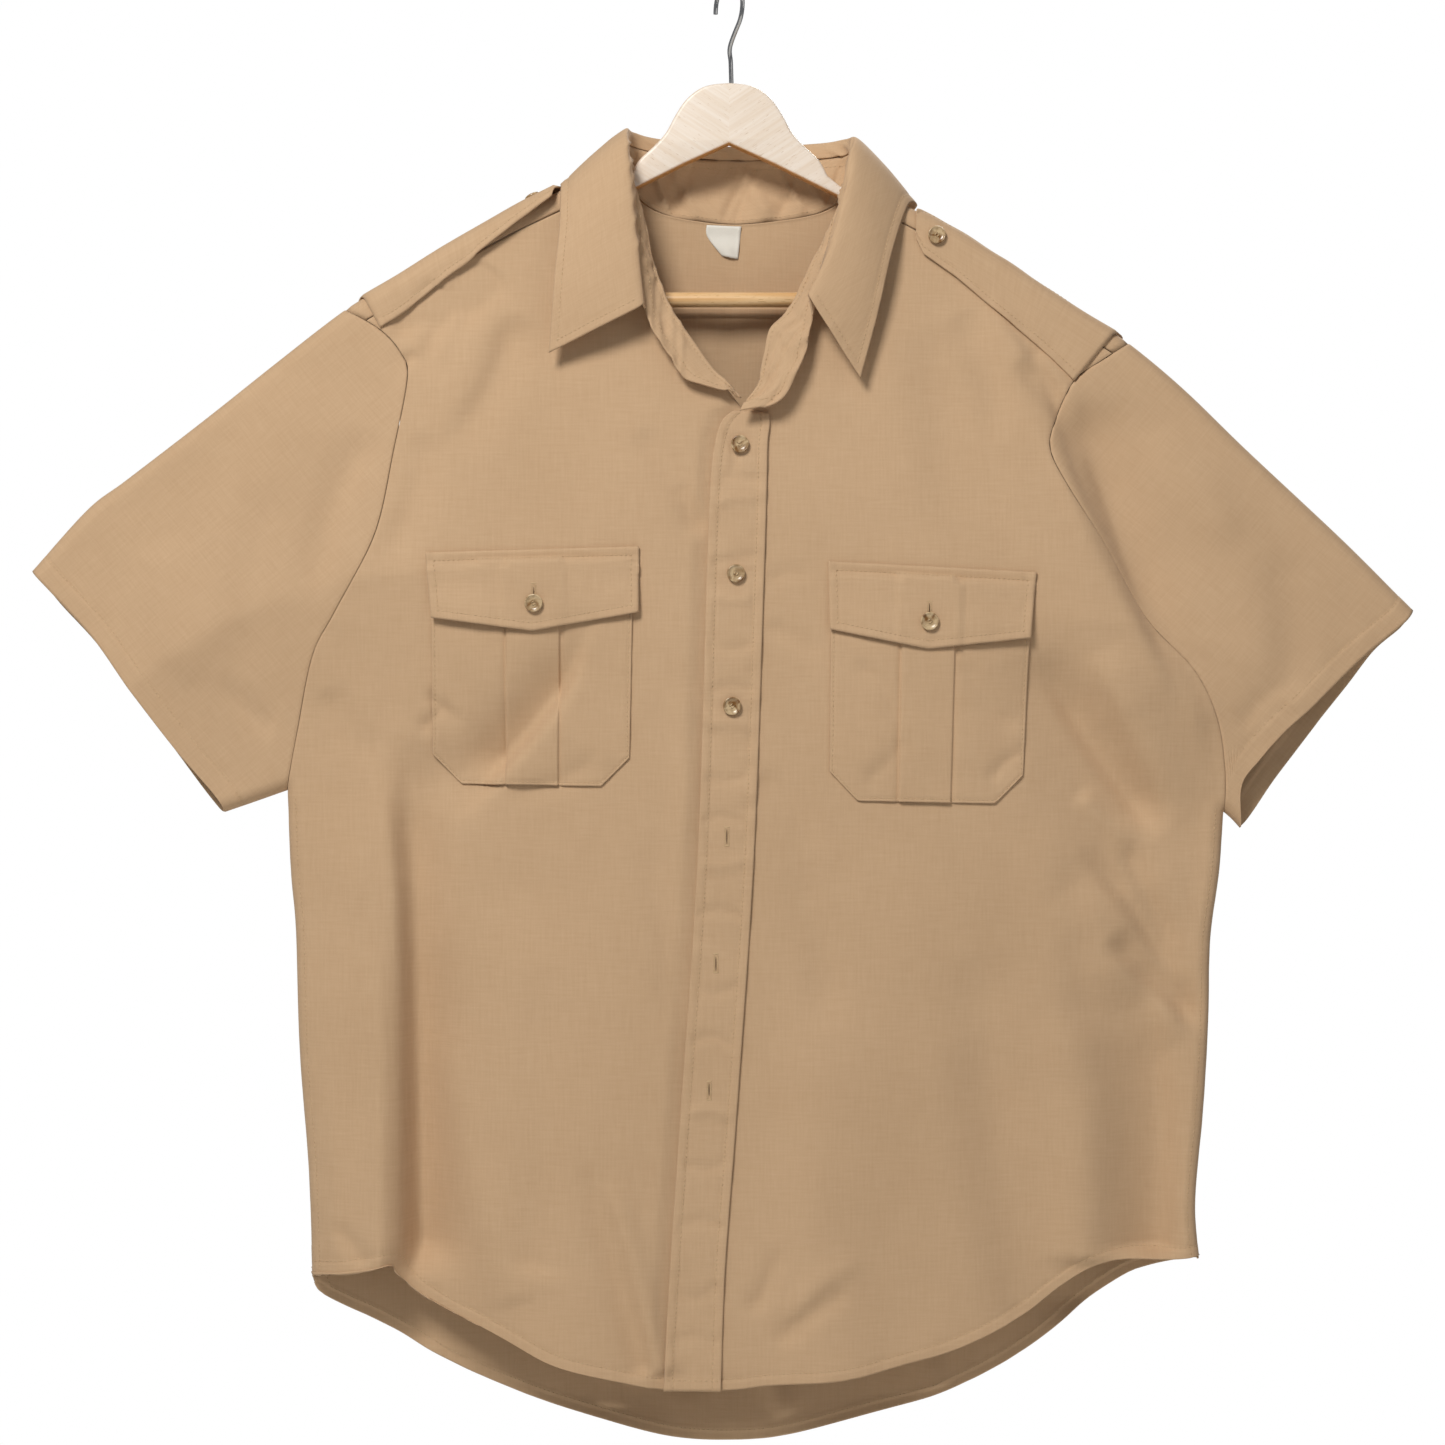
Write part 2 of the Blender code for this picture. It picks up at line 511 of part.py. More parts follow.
def patch(top, bottom, left, right, across, down):
    """A plane patch. left and right hold a point a row, and across each row's fractions."""
    upper = along(top, across)
    lower = along(bottom, across)
    left = left[:, None]
    right = right[:, None]
    u = across[..., None]
    v = down[:, None, None]
    corners = (
        (1 - u) * (1 - v) * top[0] + u * (1 - v) * top[-1]
        + (1 - u) * v * bottom[0] + u * v * bottom[-1]
    )
    return (1 - v) * upper + v * lower + (1 - u) * left + u * right - corners


ROLL_STEPS = ROLL_RADIUS * (1.0 - np.cos(np.radians(ROLL_TURNS)))


def steps_across(width, start, inner, end):
    """Fractions across a width: steps from its start, even ones, and steps to its end."""
    first = np.asarray(start) / width
    last = 1.0 - np.asarray(end)[::-1] / width
    middle = np.linspace(first[-1], last[0], inner + 1)[1:-1]
    return np.concatenate([first, middle, last])


def fractions_of(points):
    """Each point's share of the way along a line of them."""
    steps = np.linalg.norm(np.diff(points, axis=0), axis=1)
    return np.concatenate([[0.0], np.cumsum(steps)]) / steps.sum()


def armhole_marks(armhole, seam_drop, upper, lower):
    """Where the rows of the panels and of the sleeve meet round an armhole.

    The marks are fractions of its length from the ridge to the underarm. The second
    value is the mark at which the seam between yoke and panel ends.
    """
    line = smooth_line(armhole)
    length = line_length(line)
    drop = ridge_height(line[:, 0]) - line[:, 1]
    seam = fractions_of(line)[np.argmax(drop > seam_drop)] * length
    roll = ARMHOLE_ROLL_STRETCH * ROLL_STEPS
    to_seam = np.linspace(roll[-1], seam, upper + 1)[1:]
    below = np.linspace(seam, length - roll[-1], lower + 1)[1:-1]
    marks = np.concatenate([roll, to_seam, below, length - roll[::-1]]) / length
    return marks, len(roll) + upper - 1


MARKS = {
    "front": [armhole_marks(line, YOKE_FRONT_DROP, *FRONT_ARMHOLE_ROWS)
              for line in (ARMHOLE_FRONT_RIGHT, ARMHOLE_FRONT_LEFT)],
    "back": [armhole_marks(line, YOKE_BACK_DROP, *BACK_ARMHOLE_ROWS)
             for line in (ARMHOLE_BACK_RIGHT, ARMHOLE_BACK_LEFT)],
}


def panel_edge(line, shares, corner):
    """A panel's inner edge, a point a row, with a row that ends at the corner."""
    points = along(line, shares)
    points[np.linalg.norm(points - corner, axis=1).argmin()] = corner
    return points


def panel_side(armhole, marks, side, hem_end, inward, seam_gap):
    """A panel's outer edge, a point a row: down the armhole and on down the side seam."""
    fractions, seam = marks
    edge = shifted(smooth_line(armhole), inward)
    shares = fractions[seam:].copy()
    shares[0] += seam_gap / line_length(edge)
    upper = along(edge, shares)
    line = smooth_line(side)
    upper[-1] = line[0] - (0, SEAM_GAP)
    lower = along(line, np.linspace(0, 1, SIDE_ROWS + 1)[1:])
    lower[-1] = hem_end
    return np.concatenate([upper, lower])


def material(name, colour, roughness, metallic=0.0):
    """A Principled finish from an sRGB colour."""
    made = bpy.data.materials.new(name)
    made.use_nodes = True
    shader = made.node_tree.nodes["Principled BSDF"]
    linear = [((c + 0.055) / 1.055) ** 2.4 for c in colour]
    shader.inputs["Base Color"].default_value = (*linear, 1.0)
    shader.inputs["Roughness"].default_value = roughness
    shader.inputs["Metallic"].default_value = metallic
    return made


def keep(name, data, finish):
    """Adds the object with its finish to the shirt's collection."""
    piece = bpy.data.objects.new(name, data)
    data.materials.append(finish)
    shirt.objects.link(piece)
    return piece


def cloth(name, points, outward, finish, wall=WALL, tube=False):
    """A cloth wall whose outer face is the grid of points. outward tells its outer side."""
    rows, columns = points.shape[:2]
    form = bmesh.new()
    bmesh.ops.create_grid(form, x_segments=columns - 1, y_segments=rows - 1, size=0.5)
    for vert in form.verts:
        column = round((vert.co.x + 0.5) * (columns - 1))
        row = round((vert.co.y + 0.5) * (rows - 1))
        vert.co = points[row, column]
    if tube:
        bmesh.ops.remove_doubles(form, verts=form.verts, dist=0.00001)
    form.normal_update()
    facing = sum((face.normal * face.calc_area() for face in form.faces), Vector())
    if tube:
        middle = Vector(points.reshape(-1, 3).mean(axis=0))
        facing = Vector()
        for face in form.faces:
            away = face.calc_center_median() - middle
            facing += Vector((0.0, face.normal.y * math.copysign(1.0, away.y), 0.0))
        outward = (0.0, 1.0, 0.0)
    if facing.dot(Vector(outward)) < 0:
        bmesh.ops.reverse_faces(form, faces=form.faces)
    mesh = bpy.data.meshes.new(name)
    form.to_mesh(mesh)
    form.free()
    mesh.shade_smooth()
    piece = keep(name, mesh, finish)
    thickness = piece.modifiers.new("wall", "SOLIDIFY")
    thickness.thickness = wall
    thickness.offset = -1.0
    return piece


def outer_face(*pieces):
    """Search trees of the pieces' outer faces."""
    trees = []
    for piece in pieces:
        corners = [vert.co for vert in piece.data.vertices]
        faces = [tuple(face.vertices) for face in piece.data.polygons]
        trees.append(BVHTree.FromPolygons(corners, faces))
    return trees


def laid(points, trees, lift, reach):
    """(x, y, z) just in front of the faces below, also where they rise beside a point."""
    result = np.empty((*points.shape[:-1], 3))
    for place in np.ndindex(points.shape[:-1]):
        x, z = points[place]
        heights = [front_sheet((x, z))[1]]
        for side in (-reach, 0.0, reach):
            for rise in (-reach, 0.0, reach):
                start = Vector((x + side, -1.0, z + rise))
                for tree in trees:
                    hit = tree.ray_cast(start, Vector((0.0, 1.0, 0.0)))[0]
                    if hit is not None and hit.y < 0:
                        heights.append(hit.y)
        result[place] = (x, min(heights) - lift, z)
    return result


def quad_grid(corners, across, down):
    """A grid over four corners, given from the upper west one clockwise."""
    a, b, c, d = (np.array(corner) for corner in corners)
    u = np.asarray(across)[None, :, None]
    v = np.asarray(down)[:, None, None]
    return (1 - v) * ((1 - u) * a + u * b) + v * ((1 - u) * d + u * c)


def front_top(seam_point, neck_x):
    """A front's top edge, from the armhole to the neck, just below the yoke's."""
    x = np.linspace(seam_point[0], neck_x, FRONT_TOP_POINTS)
    drop_at_armhole = ridge_height(x[0]) - seam_point[1]
    drop = np.linspace(drop_at_armhole, YOKE_FRONT_DROP + FRONT_TOP_GAP, FRONT_TOP_POINTS)
    return np.stack([x, ridge_height(x) - drop], axis=-1)


def build_front_right():
    marks = MARKS["front"][0]
    outer = panel_side(
        ARMHOLE_FRONT_RIGHT, marks, SIDE_RIGHT, HEM_FRONT_RIGHT[0], SEAM_GAP, FRONT_TOP_GAP
    )
    top = front_top(outer[0], NECK_CORNER_RIGHT)
    under_placket = smooth_line([UNDER_PLACKET_TOP] + PLACKET_SEWN_EDGE[1:])
    under_placket -= (UNDER_PLACKET_INSET, 0.0)
    inner = np.concatenate([[top[-1]], smooth_line(NECK_FRONT_RIGHT), under_placket[:-1]])
    inner = np.concatenate([inner, [HEM_FRONT_RIGHT[-1]]])
    down = fractions_of(outer)
    inner = panel_edge(inner, down, under_placket[0])
    widths = np.linalg.norm(inner - outer, axis=1)
    lap_steps = (0.0, *LAP_COLUMNS[::-1])
    across = np.array([
        steps_across(width, ROLL_STEPS, FRONT_RIGHT_COLUMNS, lap_steps) for width in widths
    ])
    plane = patch(top, smooth_line(HEM_FRONT_RIGHT), outer, inner, across, down)
    west = beside(plane, smooth_line(PLACKET_FREE_EDGE))[0]
    lap = LAP * ease((west + LAP_COLUMNS[1] - LAP_COLUMNS[2] + LAP_START) / LAP_SLOPE)
    points = front_sheet(plane, -SEAM_GAP / 2)
    points[..., 1] += lap
    return cloth("front_right", points, (0, -1, 0), khaki)


def build_front_left():
    marks = MARKS["front"][1]
    outer = panel_side(
        ARMHOLE_FRONT_LEFT, marks, SIDE_LEFT, HEM_FRONT_LEFT[-1], -SEAM_GAP, FRONT_TOP_GAP
    )
    top = front_top(outer[0], NECK_CORNER_LEFT)
    edge = smooth_line([LAID_EDGE_TOP] + PLACKET_FREE_EDGE[1:]) + (LAID_EDGE_INSET, 0.0)
    inner = np.concatenate([[top[-1]], smooth_line(NECK_FRONT_LEFT), edge[:-1]])
    inner = np.concatenate([inner, [HEM_FRONT_LEFT[0]]])
    down = fractions_of(outer)
    inner = panel_edge(inner, down, edge[0])
    widths = np.linalg.norm(inner - outer, axis=1)
    across = np.array([
        steps_across(width, ROLL_STEPS, FRONT_LEFT_COLUMNS, (0.0,)) for width in widths
    ])
    hem = smooth_line(HEM_FRONT_LEFT)[::-1]
    plane = patch(top, hem, outer, inner, across, down)
    return cloth("front_left", front_sheet(plane, -SEAM_GAP / 2), (0, -1, 0), khaki)


def yoke_seam_line():
    ends = [
        along(smooth_line(armhole), fractions[[seam]])
        for armhole, (fractions, seam) in zip(
            (ARMHOLE_BACK_RIGHT, ARMHOLE_BACK_LEFT), MARKS["back"]
        )
    ]
    return smooth_line(np.concatenate([ends[0], YOKE_SEAM, ends[1]]))


def build_back():
    seam_line = yoke_seam_line() - (0, SEAM_GAP / 2)
    half = SEAM_GAP / 2
    left = panel_side(
        ARMHOLE_BACK_RIGHT, MARKS["back"][0], SIDE_RIGHT, HEM_BACK[0], SEAM_GAP, half
    )
    right = panel_side(
        ARMHOLE_BACK_LEFT, MARKS["back"][1], SIDE_LEFT, HEM_BACK[-1], -SEAM_GAP, half
    )
    seam_line[[0, -1]] = left[0], right[0]
    down = fractions_of(left)
    widths = np.linalg.norm(right - left, axis=1)
    across = np.array([
        steps_across(width, ROLL_STEPS, BACK_COLUMNS, ROLL_STEPS) for width in widths
    ])
    plane = patch(seam_line, smooth_line(HEM_BACK), left, right, across, down)
    points = back_sheet(plane) + (0, SEAM_GAP / 2, 0)
    return cloth("back", points, (0, 1, 0), khaki)


def over_ridge(points, sign):
    """(x, length from the ridge) of plane points on the back (+1) or the front (-1)."""
    drop = ridge_height(points[:, 0]) - points[:, 1]
    return np.stack([points[:, 0], sign * length_of(drop)], axis=-1)


def yoke_side(number, inward):
    """The yoke's edge at an armhole, from its back seam over the ridge to its front seam."""
    back = (ARMHOLE_BACK_RIGHT, ARMHOLE_BACK_LEFT)[number]
    front = (ARMHOLE_FRONT_RIGHT, ARMHOLE_FRONT_LEFT)[number]
    marks, seam = MARKS["back"][number]
    upper = over_ridge(along(smooth_line(back), marks[seam::-1]), 1.0)
    upper[0, 1] -= SEAM_GAP / 2
    marks, seam = MARKS["front"][number]
    lower = over_ridge(along(smooth_line(front), marks[1:seam + 1]), -1.0)
    return np.concatenate([upper, lower]) + (inward, 0)


def build_yoke():
    """The yoke lies flat on (x, length from the ridge) and is bent over the ridge."""
    lower = over_ridge(yoke_seam_line() + (0, SEAM_GAP / 2), 1.0)
    first = yoke_side(0, SEAM_GAP)
    last = yoke_side(1, -SEAM_GAP)
    lower[[0, -1]] = first[0], last[0]
    front = -length_of(YOKE_FRONT_DROP)
    neck = over_ridge(smooth_line(NECK_BACK), 1.0)
    upper = np.concatenate([
        [first[-1], (NECK_CORNER_RIGHT, front), (NECK_CORNER_RIGHT - NECK_BOW_HALFWAY, front / 2),
         (NECK_CORNER_RIGHT - NECK_BOW, 0.0)],
        neck,
        [(NECK_CORNER_LEFT + NECK_BOW, 0.0), (NECK_CORNER_LEFT + NECK_BOW_HALFWAY, front / 2),
         (NECK_CORNER_LEFT, front), last[-1]],
    ])
    shares = fractions_of(upper)
    corners = shares[1], shares[-2]
    columns = np.concatenate([
        np.linspace(0, corners[0], YOKE_SHOULDER_COLUMNS),
        np.linspace(corners[0], corners[1], YOKE_NECK_COLUMNS)[1:-1],
        np.linspace(corners[1], 1, YOKE_SHOULDER_COLUMNS),
    ])
    down = fractions_of(first)
    across = np.broadcast_to(columns, (len(down), len(columns)))
    flat = patch(lower, upper, first, last, across, down)
    return cloth("back_yoke", shoulder_sheet(flat[..., 0], flat[..., 1]), (0, 1, 0.3), khaki)


def build_sleeve(name, top, under, armholes, cuffs, number):
    """A tube of a front and a back patch that share the top fold and the underarm."""
    down = np.linspace(0, 1, SLEEVE_ROWS)
    top_points = along(smooth_line(top), down)
    under_points = along(smooth_line(under), down)
    widths = np.linalg.norm(top_points - under_points, axis=1)
    halves = []
    for armhole, cuff, sheet, face in zip(
        armholes, cuffs, (front_sheet, back_sheet), ("front", "back")
    ):
        marks = MARKS[face][number][0]
        inner = len(marks) - 2 * len(ROLL_STEPS) + 1
        even = np.array([
            steps_across(width, ROLL_STEPS, inner, ROLL_STEPS) for width in widths
        ])
        across = marks + (even - marks) * down[:, None]
        plane = patch(
            smooth_line(armhole), smooth_line(cuff), top_points, under_points, across, down
        )
        half = sheet(plane)
        half[:, (0, -1), 1] = 0.0
        halves.append(half)
    ring = np.concatenate([halves[0], halves[1][:, ::-1][:, 1:]], axis=1)
    return cloth(name, ring, (0, 1, 0), khaki, tube=True)


def build_stand():
    seams = [row[0] for row in STAND_SECTIONS]
    tops = [row[1] for row in STAND_SECTIONS]
    places = np.linspace(0, 1, STAND_POINTS)
    low = section_of(seams, places)
    high = section_of(tops, places)
    rows = np.array(STAND_ROWS)[:, None, None]
    points = low + (high - low) * rows
    return cloth("collar_stand", points, (0, -1, 0), khaki, wall=DOUBLE_WALL)


def build_fall():
    """The fall leaves the stand's top, turns over at the crest and hangs to its edge."""
    table = [dict(zip(FALL_COLUMNS, row)) for row in FALL_SECTIONS]
    tops = [row[1] for row in STAND_SECTIONS]
    last_section = len(STAND_SECTIONS) - 1
    places = np.linspace(0, 1, FALL_POINTS)
    section = section_of([[row["section"]] for row in table], places)[:, 0]
    base = section_of(tops, section / last_section)
    crest = section_of([row["crest"] for row in table], places)
    edge = section_of([row["edge"] for row in table], places)
    angle = np.radians(section_of([[row["outward"]] for row in table], places)[:, 0])
    outward = np.stack([np.cos(angle), np.sin(angle), 0 * angle], axis=-1)
    rise = crest - base
    rise /= np.linalg.norm(rise, axis=1)[:, None]
    base = base + rise * SEAM_GAP * 2
    hang = edge - crest
    rows = [base]
    for values in FALL_PROFILE:
        place = dict(zip(FALL_PROFILE_COLUMNS, values))
        roll = FALL_ROLL * (rise * place["rise"] + outward * place["out"])
        rows.append(crest + roll + hang * place["hang"])
    return cloth("collar", np.array(rows), (0, 0, 1), khaki, wall=DOUBLE_WALL)


def build_placket(under):
    free = smooth_line(PLACKET_FREE_EDGE)
    sewn = smooth_line(PLACKET_SEWN_EDGE)
    down = np.linspace(0, 1, PLACKET_ROWS)
    across = np.linspace(0, 1, PLACKET_COLUMNS)[:, None]
    plane = (1 - across) * along(free, down)[:, None] + across * along(sewn, down)[:, None]
    plane[-1] += (0, PLACKET_HEM_RISE)
    points = laid(plane, outer_face(under), WALL + LAID_GAP, PLACKET_REACH)
    return cloth("placket", points, (0, -1, 0), khaki)


def build_pocket(row, under):
    outline = row["outline"]
    pleat = row["pleat"]
    width = outline[1][0] - outline[0][0]
    edge = POCKET_PLEAT_EDGE / width
    mitre = POCKET_MITRE / width
    across = np.array([
        0, mitre, (mitre + pleat[0]) / 2, pleat[0] - edge, pleat[0] + edge,
        (pleat[0] + pleat[1]) / 2, pleat[1] - edge, pleat[1] + edge,
        (pleat[1] + 1 - mitre) / 2, 1 - mitre, 1,
    ])
    height = outline[0][1] - outline[3][1]
    down = np.linspace(0, 1, POCKET_ROWS)
    plane = quad_grid(outline, across, down)
    depth = POCKET_MITRE / height
    plane[:, 0, 1] = outline[0][1] - height * (1 - depth) * down
    plane[:, -1, 1] = outline[1][1] - height * (1 - depth) * down
    points = laid(plane, outer_face(under), WALL + LAID_GAP, POCKET_REACH)
    raised = (across > pleat[0]) & (across < pleat[1])
    points[:, raised, 1] -= POCKET_PLEAT_RISE
    return cloth("pocket_" + row["side"], points, (0, -1, 0), khaki)


def build_flap(row, under):
    west, east, low_east, point, low_west = row["flap"]
    across = np.linspace(0, 1, FLAP_COLUMNS)
    lower = np.array([low_west, point, low_east])
    tip = (point[0] - low_west[0]) / (low_east[0] - low_west[0])
    lower = np.stack([
        np.interp(across, [0, tip, 1], lower[:, 0]),
        np.interp(across, [0, tip, 1], lower[:, 1]),
    ], axis=-1)
    upper = np.linspace(west, east, FLAP_COLUMNS)
    down = np.array(FLAP_ROWS)[:, None, None]
    plane = (1 - down) * upper + down * lower
    points = laid(plane, outer_face(*under), WALL + LAID_GAP, FLAP_REACH)
    return cloth("flap_" + row["side"], points, (0, -1, 0), khaki)


def strap_point(x, length, lift):
    """A point above the shoulder's face, moved out square to it."""
    step = SHOULDER_STEP
    here = shoulder_sheet(x, length)
    along_x = shoulder_sheet(x + step, length) - shoulder_sheet(x - step, length)
    round_ridge = shoulder_sheet(x, length + step) - shoulder_sheet(x, length - step)
    normal = np.cross(along_x, round_ridge)
    normal /= np.linalg.norm(normal, axis=-1)[..., None]
    return here + normal * lift


def build_strap(side):
    table = np.array(STRAPS[side])
    marks = np.linspace(0, 1, len(table))
    places = np.concatenate([STRAP_POINT_ROWS, np.linspace(STRAP_BODY_START, 1, STRAP_BODY_ROWS)])
    rows = {
        column: np.interp(places, marks, values) for column, values in zip(STRAP_COLUMNS, table.T)
    }
    across = np.linspace(0, 1, STRAP_WIDTH_POINTS)[:, None]
    x = rows["front_x"] + (rows["back_x"] - rows["front_x"]) * across
    length = rows["front"] + (rows["back"] - rows["front"]) * across
    points = strap_point(x, length, STRAP_LIFT + DOUBLE_WALL)
    return cloth("epaulette_" + side, points, (0, 0, 1), khaki, wall=DOUBLE_WALL)


def build_button(name, centre, facing):
    """A turned button with a raised rim and a flat back."""
    profile = [
        (0.0, BUTTON_HEIGHT - BUTTON_DISH),
        (BUTTON_RADIUS - BUTTON_RIM, BUTTON_HEIGHT - BUTTON_DISH),
        (BUTTON_RADIUS - BUTTON_RIM / 2, BUTTON_HEIGHT),
        (BUTTON_RADIUS, BUTTON_HEIGHT * BUTTON_GIRTH_SHARE),
        (BUTTON_RADIUS * BUTTON_FOOT_SHARE, 0.0),
        (0.0, 0.0),
    ]
    form = bmesh.new()
    corners = [form.verts.new((radius, 0.0, height)) for radius, height in profile]
    edges = [form.edges.new(pair) for pair in zip(corners, corners[1:])]
    bmesh.ops.spin(
        form, geom=corners + edges, cent=(0, 0, 0), axis=(0, 0, 1),
        angle=2 * math.pi, steps=BUTTON_STEPS, use_merge=True,
    )
    bmesh.ops.remove_doubles(form, verts=form.verts, dist=0.00001)
    bmesh.ops.recalc_face_normals(form, faces=form.faces)
    turn = Vector((0, 0, 1)).rotation_difference(Vector(facing)).to_matrix()
    bmesh.ops.rotate(form, verts=form.verts, cent=(0, 0, 0), matrix=turn)
    bmesh.ops.translate(form, verts=form.verts, vec=centre)
    mesh = bpy.data.meshes.new(name)
    form.to_mesh(mesh)
    form.free()
    mesh.shade_smooth()
    return keep(name, mesh, horn)


def button_on(name, place, trees):
    """A button that lies on the face below it."""
    reach = BUTTON_RADIUS * BUTTON_SEAT_SHARE
    ring = [
        (place[0] + reach * math.cos(turn), place[1] + reach * math.sin(turn))
        for turn in np.linspace(0, 2 * math.pi, BUTTON_SEAT_POINTS)
    ]
    heights = laid(np.array(ring + [place]), trees, LAID_GAP, BUTTON_REACH)[:, 1]
    return build_button(name, (place[0], heights.min(), place[1]), (0, -1, 0))


def build_label():
    upper = np.array([LABEL_OUTLINE[0], LABEL_OUTLINE[1]])
    middle = np.array([LABEL_TORN_CORNER, (LABEL_EAST_MIDDLE, LABEL_TORN_CORNER[1])])
    lower = np.array([LABEL_OUTLINE[3], LABEL_OUTLINE[2]])
    across = np.linspace(0, 1, LABEL_COLUMNS)[None, :, None]
    rows = np.array([upper, middle, lower])
    plane = (1 - across) * rows[:, :1] + across * rows[:, 1:]
    points = back_sheet(plane)
    points[..., 1] -= WALL + LAID_GAP * 2 + LABEL_WALL
    return cloth("neck_label", points, (0, -1, 0), label_white, wall=LABEL_WALL)


def build_hanger():
    """The two arms as one flat outline, then the bar and the bent wire."""
    sides = []
    for side in (-1, 1):
        upper = [(side * x, z) for x, z in ARM_TOP]
        upper += [
            (side * x, float(ridge_height(side * x)) - ARM_CLEARANCE) for x in ARM_UNDER_RIDGE
        ]
        sides.append(upper + [(side * x, z) for x, z in ARM_LOWER])
    outline = sides[1] + sides[0][:0:-1]
    outline.remove((0.0, ARM_LOWER[-1][1]))
    wood = bpy.data.curves.new("hanger_arms", "CURVE")
    wood.dimensions = "2D"
    wood.fill_mode = "BOTH"
    wood.extrude = WOOD_THICKNESS / 2 - WOOD_EDGE
    wood.bevel_depth = WOOD_EDGE
    wood.bevel_resolution = 1
    wood.offset = -WOOD_EDGE
    spline = wood.splines.new("POLY")
    spline.points.add(len(outline) - 1)
    for point, (x, z) in zip(spline.points, outline):
        point.co = (x, z, 0.0, 1.0)
    spline.use_cyclic_u = True
    arms = keep("hanger_arms", wood, beech)
    arms.rotation_euler = (math.pi / 2, 0.0, 0.0)

    rod = bmesh.new()
    bmesh.ops.create_cone(
        rod, cap_ends=True, segments=BAR_SEGMENTS, radius1=BAR_RADIUS, radius2=BAR_RADIUS,
        depth=2 * BAR_HALF_LENGTH,
    )
    bar = bpy.data.meshes.new("hanger_bar")
    rod.to_mesh(bar)
    rod.free()
    bar.shade_smooth()
    bar.set_sharp_from_angle(angle=BAR_SHARP_ANGLE)
    placed = keep("hanger_bar", bar, beech_bar)
    placed.location = (0.0, 0.0, BAR_HEIGHT)
    placed.rotation_euler = (0.0, math.pi / 2, 0.0)

    centre = HOOK_WIRE - HOOK_RADIUS
    turns = np.linspace(HOOK_LOOP_START, HOOK_LOOP_END, HOOK_LOOP_POINTS)
    reach = HOOK_RADIUS * np.cos(turns)
    loop = np.stack([
        reach * math.cos(HOOK_TURN), -reach * math.sin(HOOK_TURN),
        centre + HOOK_RADIUS * np.sin(turns),
    ], axis=-1)
    neck_places = np.linspace(HOOK_NECK_START, 1, HOOK_NECK_POINTS)
    neck = section_of([loop[-2], loop[-1], *HOOK_NECK], neck_places)[1:]
    wire = bpy.data.curves.new("hanger_hook", "CURVE")
    wire.dimensions = "3D"
    wire.bevel_depth = HOOK_WIRE
    wire.bevel_resolution = 2
    wire.use_fill_caps = True
    route = wire.splines.new("POLY")
    points = np.concatenate([loop, neck])
    route.points.add(len(points) - 1)
    for point, place in zip(route.points, points):
        point.co = (*place, 1.0)
    keep("hanger_hook", wire, wire_metal)


for leftover in list(bpy.data.objects):
    bpy.data.objects.remove(leftover)

shirt = bpy.data.collections.new("shirt_on_hanger")
bpy.context.scene.collection.children.link(shirt)

khaki = material("khaki_poplin", (0.80, 0.67, 0.51), 0.85)
horn = material("horn_button", (0.62, 0.50, 0.36), 0.30)
label_white = material("label_white", (0.93, 0.91, 0.87), 0.80)
beech = material("beech", (0.93, 0.84, 0.70), 0.45)
beech_bar = material("beech_bar", (0.90, 0.76, 0.54), 0.40)
wire_metal = material("hook_wire", (0.72, 0.72, 0.73), 0.25, metallic=1.0)

front_right = build_front_right()
front_left = build_front_left()
build_back()
build_yoke()
build_sleeve(
    "sleeve_right", SLEEVE_TOP_RIGHT, UNDERARM_RIGHT,
    (ARMHOLE_FRONT_RIGHT, ARMHOLE_BACK_RIGHT), (CUFF_FRONT_RIGHT, CUFF_BACK_RIGHT), 0,
)
build_sleeve(
    "sleeve_left", SLEEVE_TOP_LEFT, UNDERARM_LEFT,
    (ARMHOLE_FRONT_LEFT, ARMHOLE_BACK_LEFT), (CUFF_FRONT_LEFT, CUFF_BACK_LEFT), 1,
)
build_stand()
build_fall()
placket = build_placket(front_left)
for number, place in enumerate(FRONT_BUTTONS, start=1):
    button_on(f"button_front_{number}", place, outer_face(placket))
for values in POCKETS:
    pocket_row = dict(zip(POCKET_COLUMNS, values))
    front = front_right if pocket_row["side"] == "right" else front_left
    pocket = build_pocket(pocket_row, front)
    flap = build_flap(pocket_row, (front, pocket))
    button_on("button_pocket_" + pocket_row["side"], pocket_row["button"], outer_face(flap))
for side in ("right", "left"):
    build_strap(side)
    x, length = np.array(STRAP_BUTTONS[side])
    strap_top = STRAP_LIFT + DOUBLE_WALL
    foot = strap_point(x, length, strap_top + LAID_GAP)
    head = strap_point(x, length, strap_top + STRAP_BUTTON_AIM)
    build_button("button_epaulette_" + side, foot, head - foot)
build_label()
build_hanger()
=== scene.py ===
"""The looks of a short-sleeved khaki work shirt that hangs on a wooden hanger.

Metres, +Z up, the shirt's front faces -Y. "Left" and "right" are the wearer's. The
origin is the point of the hook that rests on a rail.
"""

import math

import bmesh
import bpy
import numpy as np
from mathutils import Matrix, Vector
from mathutils.bvhtree import BVHTree


